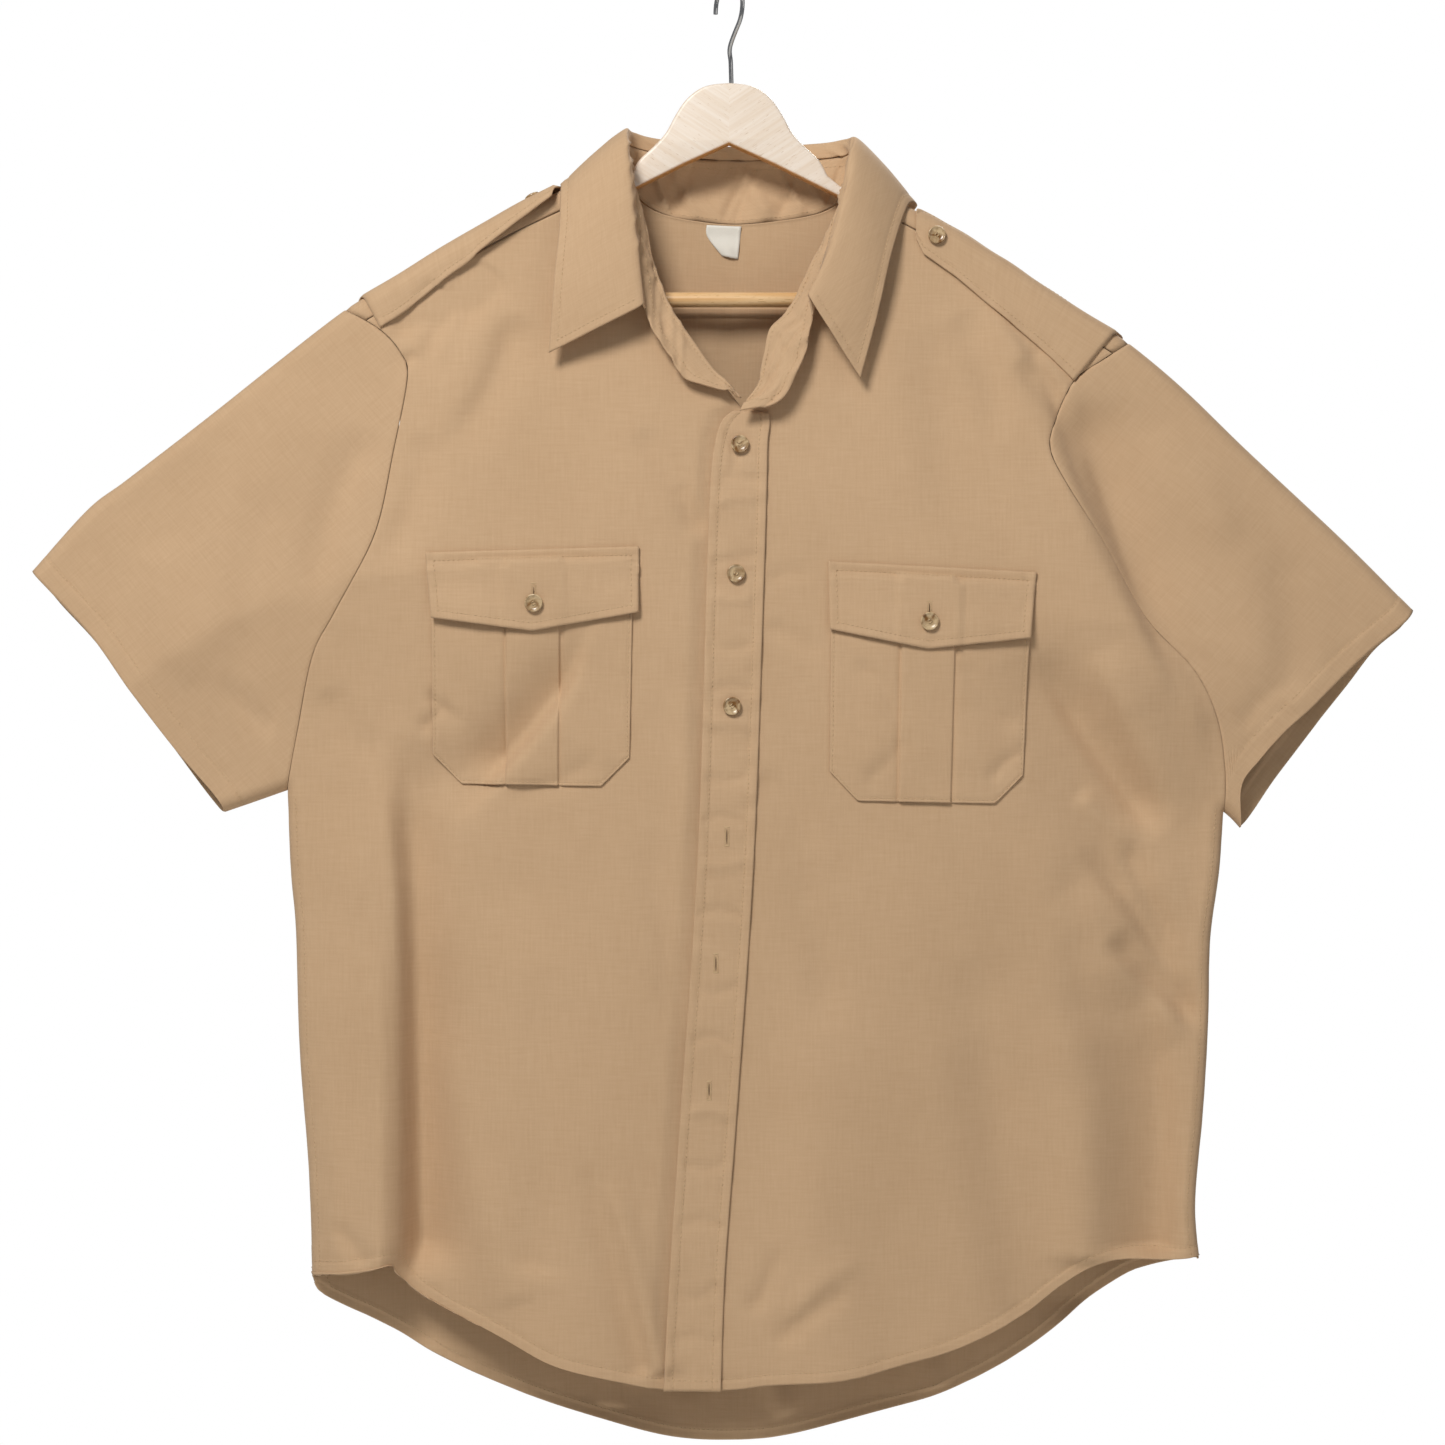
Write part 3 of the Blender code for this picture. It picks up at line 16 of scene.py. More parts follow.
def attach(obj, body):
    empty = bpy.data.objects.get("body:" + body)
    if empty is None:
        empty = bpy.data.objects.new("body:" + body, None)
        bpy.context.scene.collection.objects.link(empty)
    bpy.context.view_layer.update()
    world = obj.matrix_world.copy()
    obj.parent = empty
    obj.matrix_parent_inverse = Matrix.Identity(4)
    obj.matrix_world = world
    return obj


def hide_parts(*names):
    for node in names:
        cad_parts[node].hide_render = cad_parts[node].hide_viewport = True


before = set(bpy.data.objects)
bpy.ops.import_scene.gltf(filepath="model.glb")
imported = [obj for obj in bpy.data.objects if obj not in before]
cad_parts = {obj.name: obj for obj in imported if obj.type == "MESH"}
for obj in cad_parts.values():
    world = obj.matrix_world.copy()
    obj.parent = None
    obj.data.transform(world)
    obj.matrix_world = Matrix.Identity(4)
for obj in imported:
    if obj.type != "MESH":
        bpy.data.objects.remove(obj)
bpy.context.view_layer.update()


# The photographer's place: straight in front, 2.2 m away, at the height of the pockets,
# in a white studio. Nothing here is part of the shirt.
CAMERA = (-0.0043, -2.2, -0.4939)
FRAME_WIDTH = 0.9633
SENSOR = 36.0
FLOOR_HEIGHT = -1.60
FLOOR_SIZE = 5.0
WHITE = (1.0, 1.0, 1.0, 1.0)
ROOM_LIGHT = 0.19
# Each lamp's name, place, the height at which it aims, size, watts and colour
LAMPS = [
    ("softbox_above", (-0.95, -2.1, 1.40), -0.40, 0.85, 66.0, "#FFFCF6"),
    ("softbox_right", (1.9, -1.9, 0.3), -0.50, 1.4, 5.0, "#FFF8F0"),
    ("softbox_behind", (0.9, 2.4, 1.5), -0.45, 1.3, 50.0, "#FFFCF6"),
]


def linear(code):
    """The linear colour of an sRGB hex code, with full cover."""
    parts = [int(code[place:place + 2], 16) / 255 for place in (1, 3, 5)]
    return (*(p / 12.92 if p <= 0.04045 else ((p + 0.055) / 1.055) ** 2.4 for p in parts), 1.0)


def add_node(tree, kind, inputs=(), **settings):
    """Adds a node. inputs gives each socket a value, an output or a node with one output."""
    made = tree.nodes.new("ShaderNode" + kind)
    for name, value in settings.items():
        setattr(made, name, value)
    for socket, value in dict(inputs).items():
        if isinstance(value, bpy.types.Node):
            value = value.outputs[0]
        if isinstance(value, bpy.types.NodeSocket):
            tree.links.new(value, made.inputs[socket])
        else:
            made.inputs[socket].default_value = value
    return made


def new_material(name, roughness, **constants):
    """A Principled material, its tree and its shader. constants are the shader's own values."""
    made = bpy.data.materials.new(name)
    made.use_nodes = True
    shader = made.node_tree.nodes["Principled BSDF"]
    shader.inputs["Roughness"].default_value = roughness
    for socket, value in constants.items():
        shader.inputs[socket.replace("_", " ")].default_value = value
    return made, made.node_tree, shader


def add_object(name, data):
    made = bpy.data.objects.new(name, data)
    bpy.context.scene.collection.objects.link(made)
    return made


lens = bpy.data.cameras.new("camera")
lens.sensor_width = SENSOR
lens.lens = SENSOR * -CAMERA[1] / FRAME_WIDTH
camera = add_object("camera", lens)
camera.location = CAMERA
camera.rotation_euler = (math.radians(90), 0.0, 0.0)
bpy.context.scene.camera = camera
bpy.context.scene.view_settings.view_transform = "Standard"

room = bpy.data.worlds.new("studio")
room.use_nodes = True
bpy.context.scene.world = room
walls = room.node_tree.nodes["Background"]
walls.inputs["Color"].default_value = WHITE
walls.inputs["Strength"].default_value = ROOM_LIGHT
seen = add_node(room.node_tree, "Background", {"Color": WHITE, "Strength": 1.0})
ray = add_node(room.node_tree, "LightPath")
both = add_node(room.node_tree, "MixShader", {0: ray.outputs["Is Camera Ray"], 1: walls, 2: seen})
room.node_tree.links.new(both.outputs[0], room.node_tree.nodes["World Output"].inputs[0])
for name, place, aim, size, power, colour in LAMPS:
    lamp = bpy.data.lights.new(name, "AREA")
    lamp.size = size
    lamp.energy = power
    lamp.color = linear(colour)[:3]
    stand = add_object(name, lamp)
    stand.location = place
    look = Vector((0.0, 0.0, aim)) - Vector(place)
    stand.rotation_euler = look.to_track_quat("-Z", "Y").to_euler()

bpy.ops.mesh.primitive_plane_add(size=FLOOR_SIZE, location=(0.0, 0.0, FLOOR_HEIGHT))
floor = bpy.context.object
floor.name = "floor"
floor.data.materials.append(new_material("pale_studio_floor", 0.8, Base_Color=linear("#EFEDE8"))[0])


# The khaki cloth: a washed poplin of cotton and polyester, plain woven from slightly
# uneven yarns, so that fine light and dark lines cross it. All panels, the collar and
# the straps are cut from it. Its wrong side looks the same.
KHAKI_LIGHT = "#CFB08E"
KHAKI_DARK = "#C5A482"
KHAKI_SHADE = "#947450"
SLUB_WIDTH = 0.0013   # the real yarns are 0.25 mm apart, too fine to show, so they are drawn wider
SLUB_LENGTH = 0.026
THREAD_LIFT = 0.00035
WASHED_PATCH = 0.085
CRINKLE = 0.014
CRINKLE_LIFT = 0.0012

khaki, tree, shader = new_material(
    "khaki_poplin", 0.86, Sheen_Weight=0.12, Sheen_Roughness=0.5, Specular_IOR_Level=0.25,
)
flat_cloth = add_node(tree, "UVMap", uv_map="cloth")
place = add_node(tree, "TexCoord").outputs["Object"]
yarns = []
for width, length in ((SLUB_WIDTH, SLUB_LENGTH), (SLUB_LENGTH * 0.8, SLUB_WIDTH * 1.2)):
    stretch = add_node(
        tree, "VectorMath", {0: flat_cloth, 1: (1 / width, 1 / length, 1.0)}, operation="MULTIPLY",
    )
    yarns.append(add_node(
        tree, "TexNoise", {"Vector": stretch, "Scale": 1.0, "Detail": 3.0, "Roughness": 0.65},
    ))
weave = add_node(tree, "Math", {0: yarns[0], 1: yarns[1]}, operation="ADD")
weave_shade = add_node(tree, "MapRange", {"Value": weave, "From Min": 0.60, "From Max": 1.40})
body_colour = add_node(tree, "Mix", {
    0: weave_shade, 6: linear(KHAKI_DARK), 7: linear(KHAKI_LIGHT),
}, data_type="RGBA")
washed = add_node(tree, "TexNoise", {"Vector": place, "Scale": 1 / WASHED_PATCH, "Detail": 3.0})
patch_share = add_node(tree, "MapRange", {
    "Value": washed, "From Min": 0.35, "From Max": 0.75, "To Min": 0.0, "To Max": 0.10,
})
washed_colour = add_node(tree, "Mix", {
    0: patch_share, 6: body_colour.outputs[2], 7: linear(KHAKI_SHADE),
}, data_type="RGBA")
tree.links.new(washed_colour.outputs[2], shader.inputs["Base Color"])
threads = add_node(tree, "Bump", {"Height": weave, "Strength": 0.24, "Distance": THREAD_LIFT})
crinkle = add_node(tree, "TexNoise", {"Vector": place, "Scale": 1 / CRINKLE, "Detail": 2.0})
crinkled = add_node(tree, "Bump", {
    "Height": crinkle, "Strength": 0.25, "Distance": CRINKLE_LIFT, "Normal": threads,
})
tree.links.new(crinkled.outputs[0], shader.inputs["Normal"])


# The hanging cloth: the shirt hangs nearly flat. Its outline is where the cloth turns
# or is seamed from front to back. Both sheets leave it round a small roll, swell towards
# the middle and carry the folds.
CLOTH_WALL = 0.0006
SEAM_GAP = 0.0003
ROLL_RADIUS = 0.010
ROLL_TURNS = (0, 7, 14, 22, 31, 41, 53, 66, 79, 90)
ROLL_STEPS = ROLL_RADIUS * (1.0 - np.cos(np.radians(ROLL_TURNS)))
SWELL = 0.022
SWELL_REACH = 0.150
FOLD_FADE = 0.020
FOLD_START = 0.25
FOLD_TAIL = 0.30
HEM_TAIL = 0.08
OPEN_END = -0.8500
OVER_ARM = 0.0090
ARM_REACH = -0.2500
# The height and the spacing of the three waves that make the cloth uneven, and their slant
UNEVEN = [(0.0014, 0.105), (0.0006, 0.042), (0.00022, 0.017)]
UNEVEN_SLANT = (0.94, 0.34)
UNEVEN_STRETCH = 0.6
UNEVEN_KNOTS = 128
SIDES = ("right", "left")
FRONTWARD = (0, -1, 0)
BACKWARD = (0, 1, 0)


def in_metres(sizes):
    return np.array(sizes, float) / 1000


def both_sides(right, left):
    return {"right": in_metres(right), "left": in_metres(left)}


# The outline where front and back meet, from the neck outwards and down. These and the
# next lines are the garment's own sizes, as (x, z) in millimetres, for the right and the
# left side.
RIDGE = both_sides(
    [(-69, -123.5), (-90, -130), (-126, -145.5), (-150.6, -157), (-187.3, -177), (-219.3, -197),
     (-256, -219.2)],
    [(82, -132), (100, -140), (154, -169), (194, -194), (214, -207.5), (234, -220.5),
     (266.7, -241.5)],
)
SLEEVE_TOP = both_sides(
    [(-256, -219.2), (-299.3, -252.5), (-349.3, -292.2), (-401.3, -332.2), (-427.3, -352),
     (-464, -393)],
    [(266.7, -241.5), (303.4, -272.2), (344.7, -312.2), (408.7, -372.2), (448.7, -412.2),
     (455.6, -419)],
)
UNDERARM = both_sides(
    [(-294, -538.9), (-314.6, -546.2), (-335.8, -553.5)],
    [(329.3, -553.1), (335, -558), (340.5, -564)],
)
SIDE = both_sides(
    [(-294, -538.9), (-292, -592.2), (-288.6, -632.2), (-286, -712.2), (-280, -792.2),
     (-277.5, -864)],
    [(329.3, -553.1), (326.7, -592.2), (320.7, -638.9), (319.4, -692.2), (316, -752.2),
     (310.7, -812.2), (313.4, -851)],
)

# Seams and free edges. A front's hem runs from the side seam to the placket.
ARMHOLE_FRONT = both_sides(
    [(-256, -219.2), (-231.7, -233.2), (-217.6, -248.9), (-212.9, -266.1), (-222.2, -315.7),
     (-234.1, -369.9), (-259.9, -419.5), (-275.7, -449.3), (-287, -502.2), (-294, -538.9)],
    [(266.7, -241.5), (246.6, -254.2), (229.1, -267), (217.5, -290.6), (211.6, -312.4),
     (223.5, -338.2), (250.6, -379.8), (277.1, -426.1), (308.1, -459.2), (324, -492.2),
     (329.3, -525.3), (329.3, -553.1)],
)
ARMHOLE_BACK = both_sides(
    [(-256, -219.2), (-232, -240), (-222, -262), (-222, -300), (-234, -370), (-260, -440),
     (-283, -500), (-294, -538.9)],
    [(266.7, -241.5), (243, -262), (233, -285), (235, -330), (250, -390), (278, -450), (308, -510),
     (329.3, -553.1)],
)
CUFF_FRONT = both_sides(
    [(-464, -393), (-444, -413.9), (-420.8, -439.1), (-396.9, -472.3), (-367, -512.2),
     (-340, -544), (-335.8, -553.5)],
    [(455.6, -419), (446.7, -429.2), (417.1, -453.5), (385.3, -484.3), (368.1, -500.2),
     (352.1, -518.6), (340, -536), (340.5, -564)],
)
CUFF_BACK = both_sides(
    [(-464, -393), (-448, -413.9), (-424.6, -440), (-400.4, -473.5), (-369, -515), (-343, -549),
     (-335.8, -553.5)],
    [(455.6, -419), (450.8, -429.3), (432, -446), (413.6, -470.5), (382.5, -510.2),
     (364.1, -533.7), (347.9, -557.5), (340.5, -564)],
)
NECK_FRONT = both_sides(
    [(-64.5, -140), (-58.5, -160.2), (-50.5, -189.8), (-39, -220), (-23, -244.3), (-11, -261.4),
     (7.5, -285)],
    [(77.5, -148), (71, -160.2), (58.5, -191.1), (40.5, -220.7), (28.5, -234.5), (23.8, -254.9),
     (19, -270), (11, -285)],
)
HEM_FRONT = both_sides(
    [(-277.5, -859), (-255.8, -856.7), (-237.4, -854), (-222.8, -851.5), (-218.8, -859),
     (-199.1, -876.1), (-148.7, -900.2), (-114.4, -916.5), (-74, -926.6), (-43.2, -932.5),
     (-8.4, -932.5)],
    [(313.4, -848.2), (296.3, -850.2), (262.3, -849.5), (241.9, -854.4), (219.2, -868),
     (194.2, -886.2), (150.9, -906.6), (117, -915.7), (78.4, -924.6), (26.3, -929.3), (0, -932.5),
     (-42, -932.5)],
)
NECK_BACK = in_metres(
    [(-65.5, -140), (-48, -152), (-20, -158), (5, -159.7), (30, -158), (60, -153), (77.5, -144)],
)
YOKE_SEAM = in_metres([(-120, -230), (0, -220.5), (120, -233)])
PLACKET_FREE_EDGE = in_metres(
    [(-4.6, -295), (-9.2, -309.4), (-12.2, -335.6), (-14.8, -401.8), (-20.6, -582.7),
     (-32.2, -754.5), (-39.6, -863.9), (-43, -933.5)],
)
PLACKET_SEWN_EDGE = in_metres(
    [(26.8, -298), (25.5, -309.4), (24.9, -335.6), (22.9, -401.8), (16.3, -582.7), (5.2, -748.6),
     (-2.7, -854.1), (-5.4, -933.7)],
)
HEM_BACK = in_metres(
    [(-277.5, -864), (-273.1, -875.7), (-240.2, -893.2), (-199.1, -916.7), (-158, -937.6),
     (-106.4, -959.1), (-44.6, -975.7), (3.4, -978), (49.9, -973.1), (124.2, -954.6),
     (165.9, -936), (203, -912.9), (258.4, -868.9), (281.8, -857.3), (313.4, -851)],
)

# Folds and finer creases, in millimetres: the line that each runs along, how far it stands
# out at its two ends (negative for a trough), and its width west (-X) and east (+X) of a
# line that runs down
FRONT_FOLDS = [
    ([(-258, -500), (-238, -640), (-233, -780), (-231, -920)], 3, 17, 40, 11),
    ([(-214, -600), (-210, -780), (-200, -930)], -3, -9, 14, 45),
    ([(155, -205), (198, -300), (244, -392), (270, -436), (300, -478), (314, -550)], 6, 12, 45, 13),
    ([(-190, -210), (-180, -300), (-160, -400)], 5, 1, 35, 35),
    ([(-215, -545), (-150, -500), (-85, -440)], -5, -3, 22, 22),
    ([(-140, -600), (-120, -760), (-110, -950)], 3, 8, 40, 40),
    ([(60, -660), (55, -800), (70, -950)], 1, 10, 30, 40),
    ([(190, -440), (235, -520), (275, -610)], -4, -7, 25, 25),
    ([(225, -600), (262, -660), (300, -710)], 4, 6, 24, 20),
    ([(150, -700), (200, -800), (235, -900)], -2, -7, 35, 30),
    ([(100, -200), (120, -300), (130, -370)], 4, 1, 30, 30),
    ([(238, -280), (262, -350), (300, -420)], -5, -4, 20, 30),
    ([(300, -300), (345, -390), (352, -500)], 3, 3, 30, 30),
    ([(-270, -260), (-320, -360), (-345, -480)], 3, 3, 30, 30),
    ([(-232, -520), (-222, -600), (-219, -700), (-218.5, -865)], 4, 9, 14, 5.5),
    ([(-190, -202), (-205, -222), (-226, -238)], -6.5, -4, 7, 10),
    ([(-160, -188), (-172, -207), (-190, -230), (-204, -269)], -8.5, -5, 9, 16),
    ([(-141, -222), (-155, -268), (-186, -318)], -4.8, -3.5, 10, 16),
    ([(-172, -198), (-184, -232), (-196, -262)], 3.5, 1.3, 7, 6),
    ([(-207, -248), (-216, -256), (-226, -262)], -2.9, -1.9, 4, 4),
    ([(-200, -300), (-206, -340), (-226, -392)], -2.2, -3.2, 10, 14),
    ([(-83, -412), (-100.6, -454.1), (-110.1, -474.3), (-129.1, -499.1), (-143.3, -515.7),
      (-158.7, -531.1), (-186, -562)], -6, -15, 23, 4.8),
    ([(-92, -448), (-104, -476.3), (-122.5, -502), (-137, -519), (-156, -539)], 2, 3.5, 5, 14),
    ([(-200, -472), (-188, -486), (-176, -492)], -3.2, -1.6, 4, 5),
    ([(-206, -500), (-194, -490), (-182, -476)], -2.9, -1.6, 4, 4),
    ([(-150, -545), (-108, -530), (-80, -512)], -2.2, -1.6, 8, 8),
    ([(-32, -336), (-26, -352), (-18, -372)], -3.5, -4.8, 9, 5),
    ([(-60, -300), (-42, -324), (-30, -345)], -1.9, -3.5, 10, 10),
    ([(-34, -470), (-26, -520), (-30, -580)], 1.6, 2.2, 8, 10),
    ([(-52, -560), (-40, -640), (-36, -700)], -1.9, -2.6, 12, 10),
    ([(-80, -790), (-62, -850), (-44, -925)], 2.6, 4.8, 5, 9),
    ([(-96, -780), (-76, -850), (-55, -925)], -1.6, -4.5, 10, 6),
    ([(-130, -650), (-120, -760), (-130, -860)], -2.6, -3.8, 16, 22),
    ([(-190, -690), (-170, -790), (-140, -880)], 2.2, 3.5, 16, 14),
    ([(-214, -500), (-208, -600), (-205.5, -700), (-205, -865)], -8.5, -16.5, 8.5, 24),
    ([(-246, -600), (-240, -700), (-246, -800)], -1.6, -2.6, 10, 10),
    ([(-268, -470), (-252, -500), (-232, -520)], -2.6, -1.6, 10, 10),
    ([(-262, -826), (-250, -838), (-240, -852)], -1.9, -2.9, 5, 6),
    ([(201.6, -446.1), (240, -506), (264, -540), (288, -569)], -9, -11, 8, 20),
    ([(240, -446.1), (268, -501.5), (298, -566)], 4, 6, 8, 20),
    ([(230, -576), (264.5, -613.8), (279.9, -636.9), (300, -664)], -5, -8, 4.2, 12),
    ([(260, -576), (275.3, -606.1), (297, -646)], -3, -5, 3.2, 9),
    ([(232, -540), (248.5, -558), (270, -578)], 4.5, 3, 6, 7),
    ([(250, -635), (285, -666), (325, -704)], -6, -12, 7, 14),
    ([(268, -650), (284, -740), (284, -852)], -7, -15, 30, 12),
    ([(230, -680), (235, -760), (235, -856)], 3.5, 7, 20, 18),
    ([(206, -560), (214, -640), (224, -740)], 1.9, 3.5, 18, 14),
    ([(160, -640), (172, -740), (196, -900)], -2.6, -5.1, 20, 22),
    ([(30, -905), (52, -884), (78, -868)], -4.2, -1.6, 6, 8),
    ([(14, -884), (26, -862), (34, -836)], -3.5, -1.6, 5, 6),
    ([(36, -890), (60, -862), (92, -846)], 2.6, 1.3, 6, 8),
    ([(40, -585), (60, -640), (66, -700)], -1.6, -2.9, 14, 16),
    ([(24, -428), (44, -440), (62, -452)], -2.2, -1, 5, 6),
    ([(24, -402), (40, -396), (58, -398)], -1.6, -0.8, 4, 5),
    ([(18, -528), (38, -545), (60, -580)], -1.9, -1.3, 6, 8),
    ([(190, -252), (216, -286), (234, -322)], -4.8, -3.5, 6, 8),
    ([(204, -248), (222, -270), (234, -300)], 2.9, 1.9, 5, 4),
    ([(150, -222), (170, -262), (180, -310)], -2.9, -1.9, 10, 12),
    ([(168, -214), (204, -268), (224, -330), (252, -386)], 4.5, 4.5, 12, 5),
    ([(128, -230), (140, -300), (134, -370)], -2.2, -1.3, 16, 16),
    ([(80, -452), (100, -470), (112, -500)], -2.6, -1.3, 6, 8),
    ([(150, -450), (170, -482), (192, -500)], -1.9, -1.9, 7, 8),
    ([(86, -536), (104, -520), (116, -500)], -1.9, -1.3, 6, 6),
    ([(168, -536), (182, -520), (196, -512)], -2.6, -1.6, 5, 6),
    ([(280, -300), (306, -340), (334, -380)], 2.2, 3.2, 14, 18),
    ([(228, -272), (244.5, -327.5), (277.4, -426.4), (310, -490)], -6, -7, 7, 20),
    ([(360, -380), (372, -430), (366, -480)], -1.9, -2.9, 14, 16),
    ([(340, -500), (352, -480), (380, -462)], -1.9, -1.3, 6, 8),
    ([(-236, -300), (-262, -352), (-276, -420)], -3.5, -4.2, 14, 10),
    ([(-300, -330), (-320, -400), (-318, -470)], -2.2, -3.2, 18, 18),
    ([(-380, -370), (-372, -420), (-350, -470)], 1.9, 2.6, 16, 18),
    ([(-300, -500), (-318, -486), (-338, -462)], -2.6, -1.6, 7, 8),
]
BACK_FOLDS = [
    ([(-180, -220), (-165, -420), (-175, -620)], 6, 3, 40, 40),
    ([(185, -240), (170, -440), (180, -640)], 6, 3, 40, 40),
    ([(-60, -300), (-70, -600), (-85, -990)], 2, 10, 45, 45),
    ([(70, -340), (85, -620), (100, -990)], 2, 11, 45, 45),
    ([(-225, -580), (-220, -750), (-215, -920)], 2, 9, 30, 22),
    ([(255, -560), (240, -720), (235, -900)], 2, 9, 22, 30),
    ([(5, -500), (10, -750), (12, -990)], -2, -6, 35, 35),
    ([(-290, -280), (-335, -380), (-350, -500)], 3, 3, 30, 30),
    ([(300, -310), (340, -400), (355, -510)], 3, 3, 30, 30),
    ([(-150, -250), (-120, -320), (-110, -420)], -3.8, -2.6, 12, 14),
    ([(140, -255), (120, -330), (126, -430)], -3.5, -2.9, 14, 12),
    ([(-20, -240), (-26, -340), (-40, -470)], 2.9, 1.9, 12, 16),
    ([(30, -240), (40, -340), (34, -450)], 2.2, 2.9, 14, 12),
    ([(-250, -490), (-200, -530), (-150, -540)], -4.5, -1.9, 12, 12),
    ([(280, -500), (230, -545), (180, -560)], -4.8, -1.9, 12, 12),
    ([(-240, -520), (-214, -560), (-180, -590)], 3.2, 1.6, 8, 8),
    ([(262, -540), (232, -590), (200, -622)], 3.5, 1.6, 8, 8),
    ([(-130, -560), (-126, -700), (-140, -860)], -2.9, -5.4, 18, 22),
    ([(150, -580), (146, -720), (160, -880)], -3.2, -5.8, 22, 18),
    ([(55, -600), (50, -760), (40, -930)], -1.9, -5.1, 14, 14),
    ([(-40, -640), (-36, -800), (-30, -950)], 1.6, 4.5, 12, 14),
    ([(-246, -650), (-240, -740), (-248, -830)], -3.5, -5.1, 12, 10),
    ([(276, -640), (270, -740), (274, -830)], -3.5, -5.8, 10, 12),
    ([(-170, -640), (-150, -680), (-140, -720)], -2.6, -1.6, 6, 8),
    ([(190, -660), (210, -700), (222, -750)], -2.9, -1.6, 8, 6),
    ([(0, -905), (20, -925), (40, -962)], -3.2, -4.2, 7, 8),
    ([(-60, -900), (-78, -930), (-80, -958)], -2.9, -3.8, 7, 8),
    ([(110, -890), (130, -920), (140, -945)], -2.6, -3.5, 7, 8),
    ([(286, -300), (310, -360), (326, -440)], -3.5, -4.2, 14, 14),
    ([(352, -360), (372, -420), (374, -490)], 1.9, 3.2, 14, 16),
    ([(-270, -290), (-290, -360), (-300, -440)], -3.2, -4.2, 14, 14),
    ([(-360, -350), (-366, -410), (-352, -470)], 1.9, 2.9, 14, 16),
    ([(-302, -490), (-320, -476), (-342, -450)], -2.9, -1.6, 8, 8),
]


def section_of(points, fraction):
    """Points on a smooth line through the given ones, by fraction of its rows."""
    rows = np.asarray(points, float)
    place = np.clip(np.asarray(fraction, float), 0.0, 1.0) * (len(rows) - 1)
    first = np.minimum(place.astype(int), len(rows) - 2)
    part = (place - first)[..., None]
    start = rows[first]
    end = rows[first + 1]
    leave = 0.5 * (end - rows[np.maximum(first - 1, 0)])
    arrive = 0.5 * (rows[np.minimum(first + 2, len(rows) - 1)] - start)
    return (
        start
        + leave * part
        + (3 * (end - start) - 2 * leave - arrive) * part**2
        + (2 * (start - end) + leave + arrive) * part**3
    )


def smooth_line(points, samples_a_row=8):
    return section_of(points, np.linspace(0, 1, samples_a_row * (len(points) - 1) + 1))


def lengths_of(points):
    """The length along a line up to each of its points."""
    return np.append(0.0, np.cumsum(np.linalg.norm(np.diff(points, axis=0), axis=-1)))


def along(line, fraction):
    """Points at these fractions of a line's length."""
    length = lengths_of(line)
    place = np.clip(fraction, 0.0, 1.0) * length[-1]
    return np.stack([np.interp(place, length, axis) for axis in np.asarray(line).T], axis=-1)


def shifted(line, distance):
    """A plane line moved sideways: positive is east of a line that runs down."""
    run = np.gradient(line, axis=0)
    run /= np.linalg.norm(run, axis=1)[:, None]
    return line + distance * np.stack([-run[:, 1], run[:, 0]], axis=-1)


def beside(points, line):
    """Each point's signed distance from a plane line, and its place along it."""
    flat = points.reshape(-1, 1, 2)
    start = line[None, :-1]
    run = (line[1:] - line[:-1])[None]
    length = np.maximum(np.sum(run**2, axis=-1), 1e-12)
    part = np.clip(np.sum((flat - start) * run, axis=-1) / length, 0.0, 1.0)
    offset = flat - start - part[..., None] * run
    distance = np.linalg.norm(offset, axis=-1)
    nearest = distance.argmin(axis=1)
    picked = np.arange(len(flat)), nearest
    east = -run[0, nearest, 1] * offset[picked][:, 0] + run[0, nearest, 0] * offset[picked][:, 1]
    signed = distance[picked] * np.where(east < 0, -1.0, 1.0)
    place = (nearest + part[picked]) / (len(line) - 1)
    return signed.reshape(points.shape[:-1]), place.reshape(points.shape[:-1])


def ease(value):
    """A soft step from 0 to 1."""
    value = np.clip(value, 0.0, 1.0)
    return value * value * (3.0 - 2.0 * value)


def fading(distance, width):
    """A soft share that is 1 on a line and fades away over a width."""
    return np.exp(-((distance / width) ** 2))


TOP_LINES = {side: smooth_line(np.concatenate([RIDGE[side], SLEEVE_TOP[side][1:]])) for side in SIDES}
CLOSED_EDGES = [*TOP_LINES.values()] + [
    smooth_line(table[side]) for table in (UNDERARM, SIDE) for side in SIDES
]
SHOULDER_LINE = np.concatenate([TOP_LINES["right"][::-1], TOP_LINES["left"]])


def fold_height(points, table):
    """How far the folds of a table stand out at each (x, z)."""
    total = np.zeros(points.shape[:-1])
    for row in table:
        line, start, end, west, east = map(in_metres, row)
        line = smooth_line(line, 5)
        margin = 3.2 * max(west, east)
        near = np.all((points > line.min(axis=0) - margin) & (points < line.max(axis=0) + margin), axis=-1)
        if near.any():
            offset, place = beside(points[near], line)
            tail = HEM_TAIL if line[-1, 1] < OPEN_END else FOLD_TAIL
            height = (start + (end - start) * place) * ease(place / FOLD_START) * ease((1.0 - place) / tail)
            total[near] += height * fading(offset, np.where(offset < 0, west, east))
    return total


def uneven(place, spacing, seed):
    """A smooth random wave between -1 and 1 that turns about once in each spacing."""
    knots = np.random.default_rng(seed).uniform(-1, 1, 1024)
    position = place / spacing + 300.0
    first = np.floor(position).astype(int)
    part = ease(position - first)
    return knots[first % 1024] * (1 - part) + knots[(first + 1) % 1024] * part


def crumpled(place, spacing, seed):
    """Narrow creases at uneven spacing, between 0 and 1 high."""
    return (1.0 - np.abs(uneven(place, spacing, seed))) ** 4


